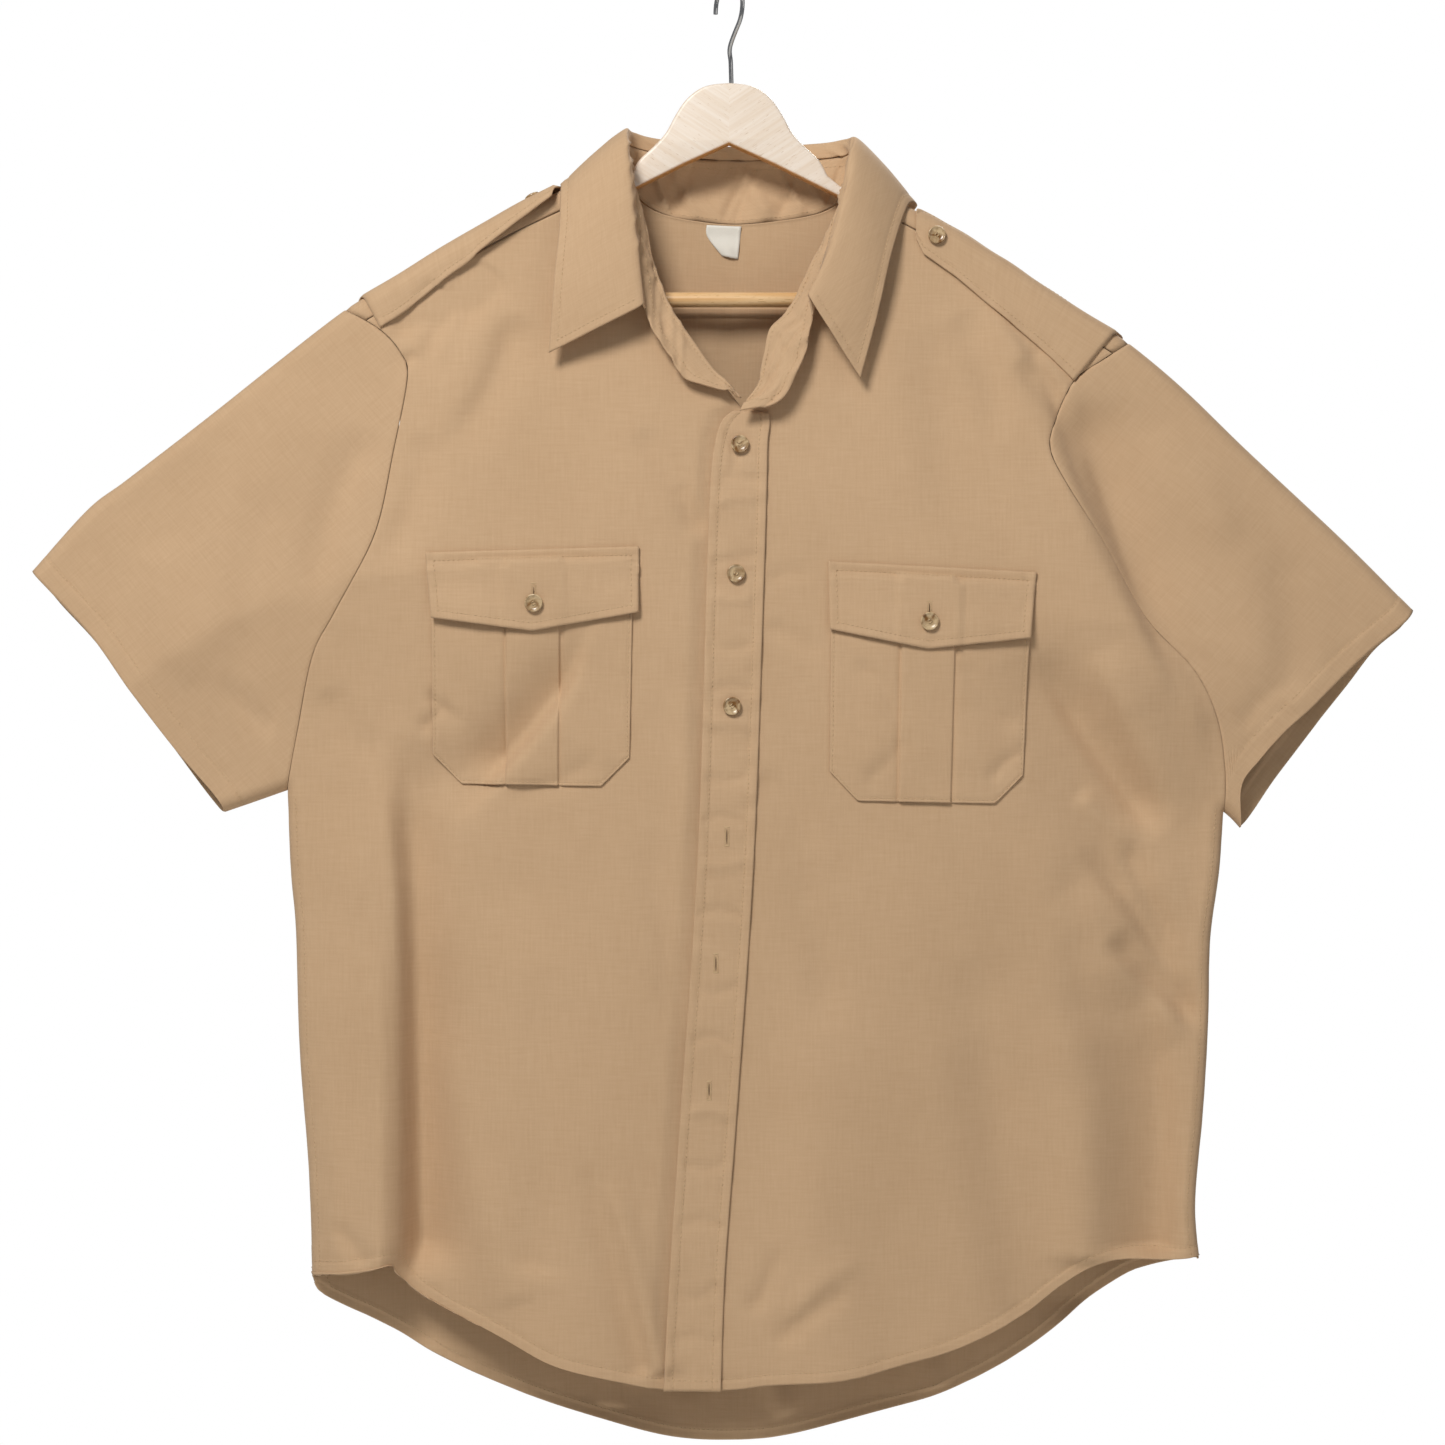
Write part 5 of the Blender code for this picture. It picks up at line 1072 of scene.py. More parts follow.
# The collar: two layers of the cloth with stiffening between, folded over the stand. It
# ends in two long points and is topstitched 6 mm from its free edges.
FALL_POINTS = 240
FALL_ROWS = 46
FALL_ROLL = 0.0026
COLLAR_STITCH = 0.0060
# The stand's section under each section of the fall, the crest where it turns over and
# its free edge in millimetres, and the direction, in degrees from +X, in which it lies
# outside the stand
FALL_SECTIONS = [
    (4, (-56, -35, -220.5), (-118.5, -30, -250.7), 270),
    (5, (-60, -33, -181), (-115.5, -30, -206.2), 262),
    (6, (-64, -28, -142), (-112, -24, -168.2), 248),
    (7, (-66, -17, -113), (-111.5, -8, -138.5), 225),
    (8, (-66.5, 0, -99), (-111, 13, -137), 170),
    (9, (-63, 17, -98.5), (-98, 31, -150), 125),
    (10, (-46, 25, -101.5), (-60, 39, -164), 100),
    (12, (5, 30, -106), (5, 43, -173), 90),
    (14, (59, 25, -104.5), (75, 39, -170), 80),
    (15, (77, 17, -103), (112, 31, -158), 55),
    (16, (82.2, 0, -105), (126, 13, -148), 5),
    (17, (80, -17, -118), (119, -8, -150), -45),
    (18, (76.5, -28, -142), (108, -24, -182), -68),
    (19, (66.5, -34, -181), (98, -32, -225), -82),
    (20, (52, -37, -215), (86.4, -33, -267.7), -90),
]

# The fall's profile: share of the way from crest to edge, and rolls outside the stand
FALL_PROFILE = [(0.10, 2.1), (0.40, 2.0), (0.70, 1.2)]
COLLAR_SEWING = {"layers": 0.0003, "groove": 0.0005, "pucker": 0.00025}

sections, crests, edges, directions = zip(*FALL_SECTIONS)
places = np.linspace(0, 1, FALL_POINTS)
section = section_of(np.array(sections)[:, None], places)[:, 0]
base = section_of(STAND_SECTIONS[:, 1], section / (len(STAND_SECTIONS) - 1))
crest = section_of(in_metres(crests), places)
edge = section_of(in_metres(edges), places)
angle = np.radians(section_of(np.array(directions)[:, None], places)[:, 0])
outward = FALL_ROLL * np.stack([np.cos(angle), np.sin(angle), 0 * angle], axis=-1)
rise = crest - base
rise /= np.linalg.norm(rise, axis=1)[:, None]
profile = np.array([
    base + rise * SEAM_GAP * 2,
    crest - rise * FALL_ROLL * 0.6,
    crest + rise * FALL_ROLL * 0.4 + outward,
    *(crest + (edge - crest) * share + outward * rolls for share, rolls in FALL_PROFILE),
    edge,
])
down = np.append(np.linspace(0, 0.55, FALL_ROWS // 2), np.linspace(0.55, 1, FALL_ROWS // 2)[1:])
points = section_of(profile.reshape(len(profile), -1), down).reshape(len(down), FALL_POINTS, 3)
normals = normals_of(points, (0, 0.3, 1))
if normals[-4, 12, 1] > 0:
    normals = -normals
gaps = gaps_of(points, "bottom", "first", "last")
gone = side_distance(points, "bottom", 0)
fall_length = side_distance(points, "first", 0)
on_fall = ease((fall_length - 0.012) / 0.012)
inner_face = 1.0 - ease((fall_length - 0.004) / 0.008)
relief = sewn(gaps["bottom"], gone, COLLAR_STITCH, 101, **COLLAR_SEWING)
nearest = np.minimum(gaps["first"], gaps["last"])
relief += on_fall * sewn(nearest, fall_length, COLLAR_STITCH, 103, **COLLAR_SEWING)
relief += on_fall * uneven(gone + fall_length * 0.4, 0.055, 104) * 0.0009
relief += on_fall * uneven(gone * 0.4 + fall_length, 0.030, 105) * 0.0004
relief += inner_face * crumpled(gone + fall_length, 0.014, 106) * 0.0022
points = points + normals * relief[..., None]
middle = tuple(normals[len(points) // 2, FALL_POINTS // 2])
collar = cloth("collar", points, arc_map(points), middle, DOUBLE_CLOTH)
paths = [contour(points, normals, gap, COLLAR_STITCH, side) for side, gap in gaps.items()]
sew("stitches_collar", [paths[0], paths[1][FALL_ROWS // 3:], paths[2][FALL_ROWS // 3:]], trim=0.006)


# The placket: a band 37 mm wide down the left front's edge, stitched 6 mm in from both
# sides and puckered by them. It has buttonholes along its middle.
PLACKET_POINTS = 230
PLACKET_COLUMNS = 26
PLACKET_WIDTH = 0.037
PLACKET_STITCH = 0.0058
PLACKET_TOP = in_metres([(3, -288.5), (26.2, -289)])
PLACKET_PAST_HEM = 0.0006
CREASE_DEPTH = 1.6
LAID_LIFT = 0.0014
# Creases across it, in the same columns as the folds
PLACKET_CREASES = [
    ([(-6, -334), (6, -332), (22, -337)], -1.6, -1, 2.4, 2.4),
    ([(-10, -352), (4, -346), (22, -350)], 1, 0.6, 3, 3),
    ([(-2, -302), (4, -318), (2, -330)], -1.4, -0.8, 2.4, 2.4),
    ([(-14, -391), (2, -387), (22, -384)], -0.8, -1, 2.4, 2.8),
    ([(-14, -412), (4, -414), (20, -410)], 0.6, 0.8, 3, 3),
    ([(-16, -444), (0, -446), (19, -442)], -1, -1.2, 2.6, 3),
    ([(-16, -474), (2, -470), (18, -474)], -0.6, -1.2, 2.6, 2.6),
    ([(-18, -498), (2, -494), (18, -500)], 0.6, 0.6, 3, 3.4),
    ([(-18, -530), (0, -532), (16, -527)], -1, -0.8, 3, 2.8),
    ([(-20, -561), (-4, -556), (16, -562)], -1.2, -1, 2.6, 3),
    ([(-20, -585), (-4, -588), (14, -582)], 0.8, 0.6, 3.4, 3),
    ([(-24, -622), (-6, -617), (12, -624)], -1, -1.2, 2.8, 2.8),
    ([(-24, -668), (-8, -672), (10, -664)], -1, -0.8, 3, 3),
    ([(-28, -706), (-12, -700), (6, -708)], -0.8, -1.2, 3, 2.8),
    ([(-30, -752), (-12, -748), (4, -756)], 1, 1, 3.6, 3.6),
    ([(-32, -783), (-14, -787), (2, -780)], -1.2, -1, 2.8, 3.2),
    ([(-36, -828), (-18, -821), (-2, -829)], -1.2, -1.4, 3, 3.4),
    ([(-36, -868), (-20, -872), (-6, -863)], -1, -1.2, 3.2, 3),
    ([(-40, -902), (-22, -897), (-8, -904)], -1.2, -0.8, 3, 3.2),
]


def face_tree(piece):
    """A search tree of a piece's outer face."""
    corners = [vert.co for vert in piece.data.vertices]
    return BVHTree.FromPolygons(corners, [tuple(face.vertices) for face in piece.data.polygons])


def laid(points, pieces, reach):
    """(x, y, z) just in front of the pieces below, also where they rise beside a point."""
    trees = [face_tree(piece) for piece in pieces]
    y = np.full(points.shape[:-1], np.nan)
    for place in np.ndindex(y.shape):
        x, z = points[place]
        for side, rise in ((0, 0), (-reach, 0), (reach, 0), (0, -reach), (0, reach)):
            for tree in trees:
                hit = tree.ray_cast(Vector((x + side, -1.0, z + rise)), Vector(BACKWARD))[0]
                if hit is not None and hit.y < 0:
                    y[place] = np.fmin(y[place], hit.y - LAID_LIFT)
    for row in y:
        known = ~np.isnan(row)
        row[:] = np.interp(np.arange(len(row)), np.flatnonzero(known), row[known])
    return np.insert(points, 1, y, axis=-1)


free, sewn_side = (
    along(smooth_line(np.concatenate([top, edge])), np.linspace(0, 1, PLACKET_POINTS))[:, None]
    for top, edge in ((PLACKET_TOP[:1], PLACKET_FREE_EDGE), (PLACKET_TOP[1:], PLACKET_SEWN_EDGE))
)
near = FREE_STEPS[:6] * 0.8
share = steps_across(PLACKET_WIDTH, near, PLACKET_COLUMNS - 10, near)[:, None]
plane = (1 - share) * free + share * sewn_side
plane[-1] += (0, PLACKET_PAST_HEM)
points = laid(plane, [fronts["left"]], 0.002)
gaps = gaps_of(points, "first", "last", "bottom")
gone = side_distance(points, "first", 0)
relief = sewn(gaps["bottom"], gaps["first"], HEM_STITCH, 115)
relief += CREASE_DEPTH * fold_height(plane, PLACKET_CREASES)
for side, seed in (("first", 111), ("last", 113)):
    relief += sewn(gaps[side], gone, PLACKET_STITCH, seed, groove=0.0005, pucker=0.0010)
points[..., 1] -= np.maximum(relief, -LAID_LIFT * 0.7)
normals = normals_of(points, FRONTWARD)
placket = cloth("placket", points, plane, FRONTWARD)
gaps["bottom"] = side_distance(points, "bottom")
insets = {"first": PLACKET_STITCH, "last": PLACKET_STITCH, "bottom": HEM_STITCH}
sew("stitches_placket", [contour(points, normals, gaps[side], insets[side], side) for side in insets])


# The pockets and their flaps: patch pockets with mitred corners and a box pleat down the
# middle, stitched close to the edge. Each pointed flap is two layers, buttoned down, and
# its lower edge curls a little off the pocket.
POCKET_STITCH = 0.0020
PLEAT_EDGE = 0.0009
PLEAT_RISE = 0.0011
PLEAT_STEPS = in_metres([-2.6, -1.6, -1.0, -0.5, 0.0, 0.5, 1.0, 2.0])
POCKET_MITRE = 0.019
POCKET_BELLY = 0.0022
FLAP_STITCH = 0.0054
FLAP_HEIGHT = 0.045
FLAP_CURL = 0.0030
FLAP_SEWING = {"groove": 0.0005, "pucker": 0.0004}
# Outlines from the upper west corner clockwise, in millimetres, the pleat's place in
# shares of the width, the button and the seed of the puckers
POCKETS = {
    "right": {
        "outline": [(-196, -392.5), (-63, -389.5), (-65.6, -536), (-196, -534)],
        "flap": [(-200, -382.1), (-59.2, -378.2), (-59, -421.5), (-129, -433.9), (-196, -425)],
        "pleat": (0.374, 0.640), "button": (-128, -415.5), "seed": 121,
    },
    "left": {
        "outline": [(67.2, -399), (199, -406), (193.8, -547.6), (66.2, -545)],
        "flap": [(65.2, -387.9), (202.2, -395), (198.2, -438.5), (130.4, -445.7), (66.2, -432.6)],
        "pleat": (0.355, 0.625), "button": (131.5, -427.5), "seed": 141,
    },
}


def build_pocket(side, outline, pleat, seed):
    west, east, low_east, low_west = outline
    width = east[0] - west[0]
    fold = PLEAT_STEPS / width
    near = FREE_STEPS[:6] * 0.7 / width
    across = np.unique(np.concatenate([
        near, 1 - near, np.linspace(near[-1], pleat[0] + fold[0], 16),
        pleat[0] + fold, np.linspace(pleat[0] + fold[-1], pleat[1] + fold[0], 14),
        pleat[1] + fold, np.linspace(pleat[1] + fold[-1], 1 - near[-1], 16),
    ]).round(6))
    down = steps_across(west[1] - low_west[1], (0.0,), 52, FREE_STEPS[:6] * 0.7)[:, None]
    u = across[None, :, None]
    v = down[..., None]
    plane = (1 - v) * ((1 - u) * west + u * east) + v * ((1 - u) * low_west + u * low_east)
    corner = np.minimum(across, 1 - across) * width / POCKET_MITRE
    plane[..., 1] += POCKET_MITRE * np.clip(1 - corner, 0, 1) * down**3
    points = laid(plane, [fronts[side]], 0.003)
    gaps = gaps_of(points, "first", "last", "bottom")
    nearest = np.min([*gaps.values()], axis=0)
    inside = np.minimum(across - pleat[0], pleat[1] - across) * width
    lift = ease(inside / PLEAT_EDGE + 0.5) - 0.7 * fading(inside + PLEAT_EDGE, 0.0012)
    x, z = np.moveaxis(plane, -1, 0)
    relief = PLEAT_RISE * lift + POCKET_BELLY * ease(nearest / 0.040) * (1 - 0.5 * down)
    relief += sewn(nearest, x + z, POCKET_STITCH, seed, layers=0.0, groove=0.0004, pucker=0.0005)
    relief += uneven(x * 0.8 + z, 0.028, seed + 3) * 0.0008 * ease(nearest / 0.02)
    points[..., 1] -= relief
    normals = normals_of(points, FRONTWARD)
    piece = cloth("pocket_" + side, points, plane, FRONTWARD)
    under_flap = int(0.22 * len(down))
    starts = {"first": under_flap, "last": under_flap, "bottom": 0}
    sew("stitches_pocket_" + side, [
        contour(points[start:], normals[start:], gaps[edge][start:], POCKET_STITCH, edge)
        for edge, start in starts.items()
    ])
    return piece


def build_flap(side, outline, button, under, seed):
    west, east, low_east, point, low_west = outline
    near = FREE_STEPS / (east[0] - west[0])
    across = np.unique(np.concatenate([near, np.linspace(near[-1], 1 - near[-1], 52), 1 - near]).round(6))
    tip = (point[0] - low_west[0]) / (low_east[0] - low_west[0])
    lower = np.stack([
        np.interp(across, [0, tip, 1], ends) for ends in zip(low_west, point, low_east)
    ], axis=-1)
    upper = west + (east - west) * across[:, None]
    fall = steps_across(FLAP_HEIGHT, FREE_STEPS, 18, FREE_STEPS)[:, None]
    plane = (1 - fall[..., None]) * upper + fall[..., None] * lower
    points = laid(plane, under, 0.004)
    gaps = gaps_of(points, "first", "last", "bottom", "top")
    nearest = np.min([gaps["first"], gaps["last"], gaps["bottom"]], axis=0)
    x, z = np.moveaxis(plane, -1, 0)
    relief = FLAP_CURL * ease((fall - 0.35) / 0.65) * (1 - 0.75 * fading(x - button[0], 0.016))
    relief = relief * (0.65 + 0.35 * uneven(x, 0.034, seed + 9))
    relief += sewn(nearest, x - z, FLAP_STITCH, seed, layers=0.0003, **FLAP_SEWING)
    relief += sewn(gaps["top"], x, FLAP_STITCH, seed + 4, layers=0.0004, **FLAP_SEWING)
    relief += uneven(x + z, 0.030, seed + 6) * 0.0004
    points[..., 1] -= relief
    normals = normals_of(points, FRONTWARD)
    piece = cloth("flap_" + side, points, plane, FRONTWARD, DOUBLE_CLOTH)
    sew("stitches_flap_" + side, [
        contour(points, normals, gap, FLAP_STITCH, edge) for edge, gap in gaps.items()
    ], trim=0.0055)
    return piece


flaps = {}
for side, row in POCKETS.items():
    pocket = build_pocket(side, in_metres(row["outline"]), row["pleat"], row["seed"])
    flaps[side] = build_flap(
        side, in_metres(row["flap"]), in_metres(row["button"]), [fronts[side], pocket], row["seed"] + 10,
    )


# The shoulder straps: two layers of cloth with a pointed end, sewn into the armhole's
# seam and buttoned near the collar, topstitched 5 mm in from the edge. The right one
# stands a little off the shoulder.
STRAP_WIDTH = 0.036
STRAP_LIFT = 0.0012
STRAP_STITCH = 0.0050
STRAP_END_STEPS = in_metres([0, 0.8, 1.6, 2.5, 4, 6, 8])
# How far each strap stands off, the seed of its puckers, the place of its button as x and
# length from the ridge, and rows in millimetres: x at the front and the back edge, and the
# lengths of cloth of the two from the ridge, negative towards the front
STRAPS = {
    "right": (0.0055, 161, (-0.1290, 0.0030), [
        (-111, -111, -1, 15), (-116, -116, -12.5, 21.5), (-140, -140, -16.5, 20.5),
        (-174, -177, -25, 19.5), (-202, -212, -30.6, 17), (-231.3, -250, -34, 12),
    ]),
    "left": (0.0, 171, (0.1375, -0.0170), [
        (124, 124, -26, -6), (129, 129, -34, 1), (150, 150, -37.2, 2),
        (183.8, 189, -46, 3), (205, 223, -49, 3.5), (228.7, 262, -56.2, 4),
    ]),
}


def strap_point(x, length, lift):
    """A point above the shoulder's face, moved out square to it."""
    step = 0.002
    along_x = shoulder_sheet(x + step, length) - shoulder_sheet(x - step, length)
    round_ridge = shoulder_sheet(x, length + step) - shoulder_sheet(x, length - step)
    normal = np.cross(along_x, round_ridge)
    normal /= np.linalg.norm(normal, axis=-1)[..., None]
    return shoulder_sheet(x, length) + normal * np.asarray(lift)[..., None]


for side, (stands_off, seed, _, rows) in STRAPS.items():
    table = in_metres(rows)
    length = abs(table[-1, 0] - table[0, 0])
    places = steps_across(length, STRAP_END_STEPS, 70, FREE_STEPS[:5])
    marks = np.linspace(0, 1, len(table))
    front_x, back_x, front, back_reach = (np.interp(places, marks, values) for values in table.T)
    near = FREE_STEPS[:6] * 0.8
    across = steps_across(STRAP_WIDTH, near, 22, near)[:, None]
    reach = front + (back_reach - front) * across
    gone = np.broadcast_to(places * length, reach.shape)
    waves = uneven(gone + across * 0.02, 0.022, seed) * ease(gone / 0.05)
    lifted = 0.0010 * fading(np.minimum(across, 1 - across), 0.16) * waves
    standing = stands_off * fading(across, 0.35) * ease(gone / 0.026) * ease((0.090 - gone) / 0.05)
    lift = STRAP_LIFT + DOUBLE_CLOTH + np.maximum(lifted, -0.0006) + standing
    points = strap_point(front_x + (back_x - front_x) * across, reach, lift)
    gaps = gaps_of(points, "top", "bottom")
    nearest = np.min([*gaps.values()], axis=0)
    normals = normals_of(points, (0, 0, 1))
    relief = sewn(nearest, gone, STRAP_STITCH, seed + 1, layers=0.0003, groove=0.0005, pucker=0.0005)
    relief += seam_dip(side_distance(points, "last"))
    points = points + normals * relief[..., None]
    flat = np.stack([gone, reach], axis=-1)
    strap = cloth("epaulette_" + side, points, flat, (0, 0, 1), DOUBLE_CLOTH)
    sew("stitches_epaulette_" + side, [
        contour(points, normals, gap, STRAP_STITCH, edge) for edge, gap in gaps.items()
    ], trim=0.006)


# The buttons: pale brown horn-look polyester, turned with a rim and a shallow dish,
# drilled with four holes and sewn on with pale thread through them. The swirls in the
# moulded colour show as light and dark patches under a gloss.
BUTTON_RADIUS = 0.0060
BUTTON_HEIGHT = 0.0026
BUTTON_RIM = 0.0014
BUTTON_DISH = 0.0007
BUTTON_STAND = 0.0005
BUTTON_TURNS = 56
HOLE_PLACE = 0.00135
HOLE_RADIUS = 0.00052
THREAD_RADIUS = 0.00034
HORN_SWIRL = 0.0080
# Each front button's place as (x, z), and its turn about its own axis
FRONT_BUTTONS = [((0.0072, -0.3109), 0.3), ((0.0045, -0.3960), 1.1), ((0.0019, -0.4831), 0.8)]
POCKET_BUTTON_TURN = 0.5
STRAP_BUTTON_TURN = 0.9

horn = mottled(
    "horn_look_polyester", 0.28, HORN_SWIRL, "#7C5529", "#CDB48E", distortion=1.2, clear=(0.38, 0.64),
    Coat_Weight=0.35, Coat_Roughness=0.15,
)[0]


def button_mesh():
    """The turned button less its four holes."""
    dish = BUTTON_HEIGHT - BUTTON_DISH
    rim = BUTTON_RADIUS - BUTTON_RIM
    profile = [
        (0.0, dish - 0.0002), (rim * 0.6, dish - 0.0001), (rim, dish + 0.0001),
        (rim + BUTTON_RIM * 0.22, BUTTON_HEIGHT * 0.93), (rim + BUTTON_RIM * 0.45, BUTTON_HEIGHT),
        (rim + BUTTON_RIM * 0.75, BUTTON_HEIGHT * 0.96), (BUTTON_RADIUS * 0.985, BUTTON_HEIGHT * 0.82),
        (BUTTON_RADIUS, BUTTON_HEIGHT * 0.6), (BUTTON_RADIUS * 0.95, BUTTON_HEIGHT * 0.28),
        (BUTTON_RADIUS * 0.8, 0.0), (0.0, 0.0),
    ]
    form = bmesh.new()
    corners = [form.verts.new((radius, 0.0, height)) for radius, height in profile]
    edges = [form.edges.new(pair) for pair in zip(corners, corners[1:])]
    bmesh.ops.spin(
        form, geom=corners + edges, cent=(0, 0, 0), axis=(0, 0, 1),
        angle=2 * math.pi, steps=BUTTON_TURNS, use_merge=True,
    )
    bmesh.ops.remove_doubles(form, verts=form.verts, dist=0.00001)
    bmesh.ops.recalc_face_normals(form, faces=form.faces)
    blank = add_object("button_blank", mesh_of(form, "button_blank"))
    form = bmesh.new()
    for turn in range(4):
        angle = math.pi / 4 + turn * math.pi / 2
        place = Matrix.Translation((HOLE_PLACE * math.cos(angle), HOLE_PLACE * math.sin(angle), 0.0))
        bmesh.ops.create_cone(
            form, cap_ends=True, segments=14, radius1=HOLE_RADIUS, radius2=HOLE_RADIUS,
            depth=4 * BUTTON_HEIGHT, matrix=place,
        )
    drills = add_object("drills", mesh_of(form, "drills"))
    cut = blank.modifiers.new("holes", "BOOLEAN")
    cut.operation = "DIFFERENCE"
    cut.object = drills
    graph = bpy.context.evaluated_depsgraph_get()
    drilled = bpy.data.meshes.new_from_object(blank.evaluated_get(graph))
    bpy.data.objects.remove(blank)
    bpy.data.objects.remove(drills)
    drilled.shade_smooth()
    drilled.set_sharp_from_angle(angle=math.radians(50))
    return drilled


drilled = button_mesh()


def surface_at(place, tree):
    """The point and outward direction of a face that looks to the front at (x, z)."""
    hit, normal, _, _ = tree.ray_cast(Vector((place[0], -1.0, place[1])), Vector(BACKWARD))
    return hit, normal if normal.y < 0 else -normal


def add_bead(form, at, sizes, roundness=2):
    """A small rounded body of the given sizes."""
    lay = at @ Matrix.Diagonal((*sizes, 1.0))
    bmesh.ops.create_icosphere(form, subdivisions=roundness, radius=0.5, matrix=lay)


def add_button(node, name, place, facing, turn_about):
    """A button on the cloth, turned about its own axis, with the thread through it."""
    facing = Vector(facing).normalized()
    turn = Vector((0, 0, 1)).rotation_difference(facing).to_matrix().to_4x4()
    at = Matrix.Translation(Vector(place) + facing * BUTTON_STAND) @ turn
    at = at @ Matrix.Rotation(turn_about, 4, "Z")
    mesh = drilled.copy()
    mesh.transform(at)
    put(name, mesh, horn, node)
    form = bmesh.new()
    for side in (-1, 1):
        across = Matrix.Translation((0.0, side * HOLE_PLACE * 0.707, BUTTON_HEIGHT - BUTTON_DISH))
        add_bead(form, at @ across, (HOLE_PLACE * 2.1, THREAD_RADIUS * 2.4, THREAD_RADIUS * 2.4))
    put(name + "_thread", mesh_of(form, name + "_thread"), thread)


placket_tree = face_tree(placket)
flap_trees = {side: face_tree(flaps[side]) for side in SIDES}
for number, (place, turn_about) in enumerate(FRONT_BUTTONS, start=1):
    hit, normal = surface_at(place, placket_tree)
    add_button(f"button_front_{number}", f"button_{number}_turned", hit, normal, turn_about)
for side in SIDES:
    hit, normal = surface_at(in_metres(POCKETS[side]["button"]), flap_trees[side])
    node = "button_pocket_" + side
    add_button(node, node + "_turned", hit, normal, POCKET_BUTTON_TURN)
for side in SIDES:
    x, length = np.array(STRAPS[side][2])
    foot, head = (strap_point(x, length, STRAP_LIFT + DOUBLE_CLOTH + rise) for rise in (0.0, 0.01))
    node = "button_epaulette_" + side
    add_button(node, node + "_turned", foot, head - foot, STRAP_BUTTON_TURN)


# The buttonholes: upright slits whose two sides are worked over with close stitches,
# barred at both ends. Three show empty below the last closed button, and the flaps' ones
# show above their buttons.
BUTTONHOLES = [(-0.0014, -0.5688), (-0.0086, -0.6520), (-0.0131, -0.7358)]
POCKET_HOLE_RISE = 0.0068
HOLE_LENGTH = 0.0110
SLIT_SHADOW_SIZES = (0.0007, 0.0003, HOLE_LENGTH * 0.94)
WORK_PITCH = 0.00065
WORK_SIZES = (0.0016, 0.0005, WORK_PITCH * 0.8)
WORK_PLACE = 0.00105
BAR_SIZES = (0.0040, 0.0006, 0.0011)
BAR_PLACE = HOLE_LENGTH / 2 + 0.0006

# Painted shadow: a small dark bead lies in each slit and stands for the shade inside the opening.
slit_shadow_finish = mottled("slit_shadow", 0.95, 0.003, "#4A3420", "#5C4229")[0]
worked = bmesh.new()
slit_shadow_beads = bmesh.new()
holes = [(place, placket_tree) for place in BUTTONHOLES]
for side in SIDES:
    holes.append((in_metres(POCKETS[side]["button"]) + (0.0, POCKET_HOLE_RISE), flap_trees[side]))
for (x, z), tree_below in holes:
    for step in range(int(HOLE_LENGTH / WORK_PITCH) + 1):
        height = z - HOLE_LENGTH / 2 + step * WORK_PITCH
        for side in (-WORK_PLACE, WORK_PLACE):
            hit, _ = surface_at((x + side, height), tree_below)
            add_bead(worked, Matrix.Translation(hit), WORK_SIZES, 1)
    for end in (-BAR_PLACE, BAR_PLACE):
        add_bead(worked, Matrix.Translation(surface_at((x, z + end), tree_below)[0]), BAR_SIZES)
    # The slit's painted shadow bead.
    add_bead(slit_shadow_beads, Matrix.Translation(surface_at((x, z), tree_below)[0]), SLIT_SHADOW_SIZES)
put("buttonhole_stitches", mesh_of(worked, "buttonhole_stitches"), thread)
put("buttonhole_slit_shadows", mesh_of(slit_shadow_beads, "buttonhole_slit_shadows"), slit_shadow_finish)


# The label: a small woven white label inside the back of the neck, torn at one corner
# and without any words. Its weave gives it fine ribs.
LABEL_WEST = in_metres([(-14.8, -160.5), (-14.6, -168), (-4.6, -181)])
LABEL_EAST = in_metres([(8.2, -161.2), (7.6, -168), (6.2, -183)])
LABEL_POINTS = 14
LABEL_LIFT = 0.0010
LABEL_BOW = 0.0016
LABEL_RIB = 0.0022   # drawn wider than the real 0.5 mm, so that it shows

label_cloth, tree, shader = new_material("woven_label", 0.75, Sheen_Weight=0.2)
ribs = add_node(tree, "TexWave", {
    "Vector": add_node(tree, "TexCoord").outputs["Object"], "Scale": 1 / LABEL_RIB,
    "Distortion": 1.5, "Detail": 2.0,
}, bands_direction="Z")
label_colour = add_node(tree, "Mix", {
    0: ribs.outputs[0], 6: linear("#DEDAD0"), 7: linear("#F4F2EC"),
}, data_type="RGBA")
tree.links.new(label_colour.outputs[2], shader.inputs["Base Color"])
ribbed = add_node(tree, "Bump", {"Height": ribs.outputs[0], "Strength": 0.3, "Distance": 0.0002})
tree.links.new(ribbed.outputs[0], shader.inputs["Normal"])

down = np.linspace(0, 1, LABEL_POINTS)
share = down[:, None]
west, east = (along(smooth_line(edge), down)[:, None] for edge in (LABEL_WEST, LABEL_EAST))
plane = (1 - share) * west + share * east
points = sheet("back", plane)
bow = LABEL_BOW * np.sin(math.pi * down) * down[:, None]
points[..., 1] -= CLOTH_WALL + LABEL_LIFT + bow + 0.0006 * uneven(plane[..., 1], 0.008, 181)
label = cloth("neck_label", points, plane, FRONTWARD)
label.data.materials[0] = label_cloth


# The hanger: two arms of pale wood that meet in a mitre at the middle, rounded at their
# edges and lacquered, with a round bar between them and a chromed wire hook. The lacquer
# lets the grain and its short pores show under a soft gloss.
WOOD_THICKNESS = 0.012
WOOD_EDGE = 0.002
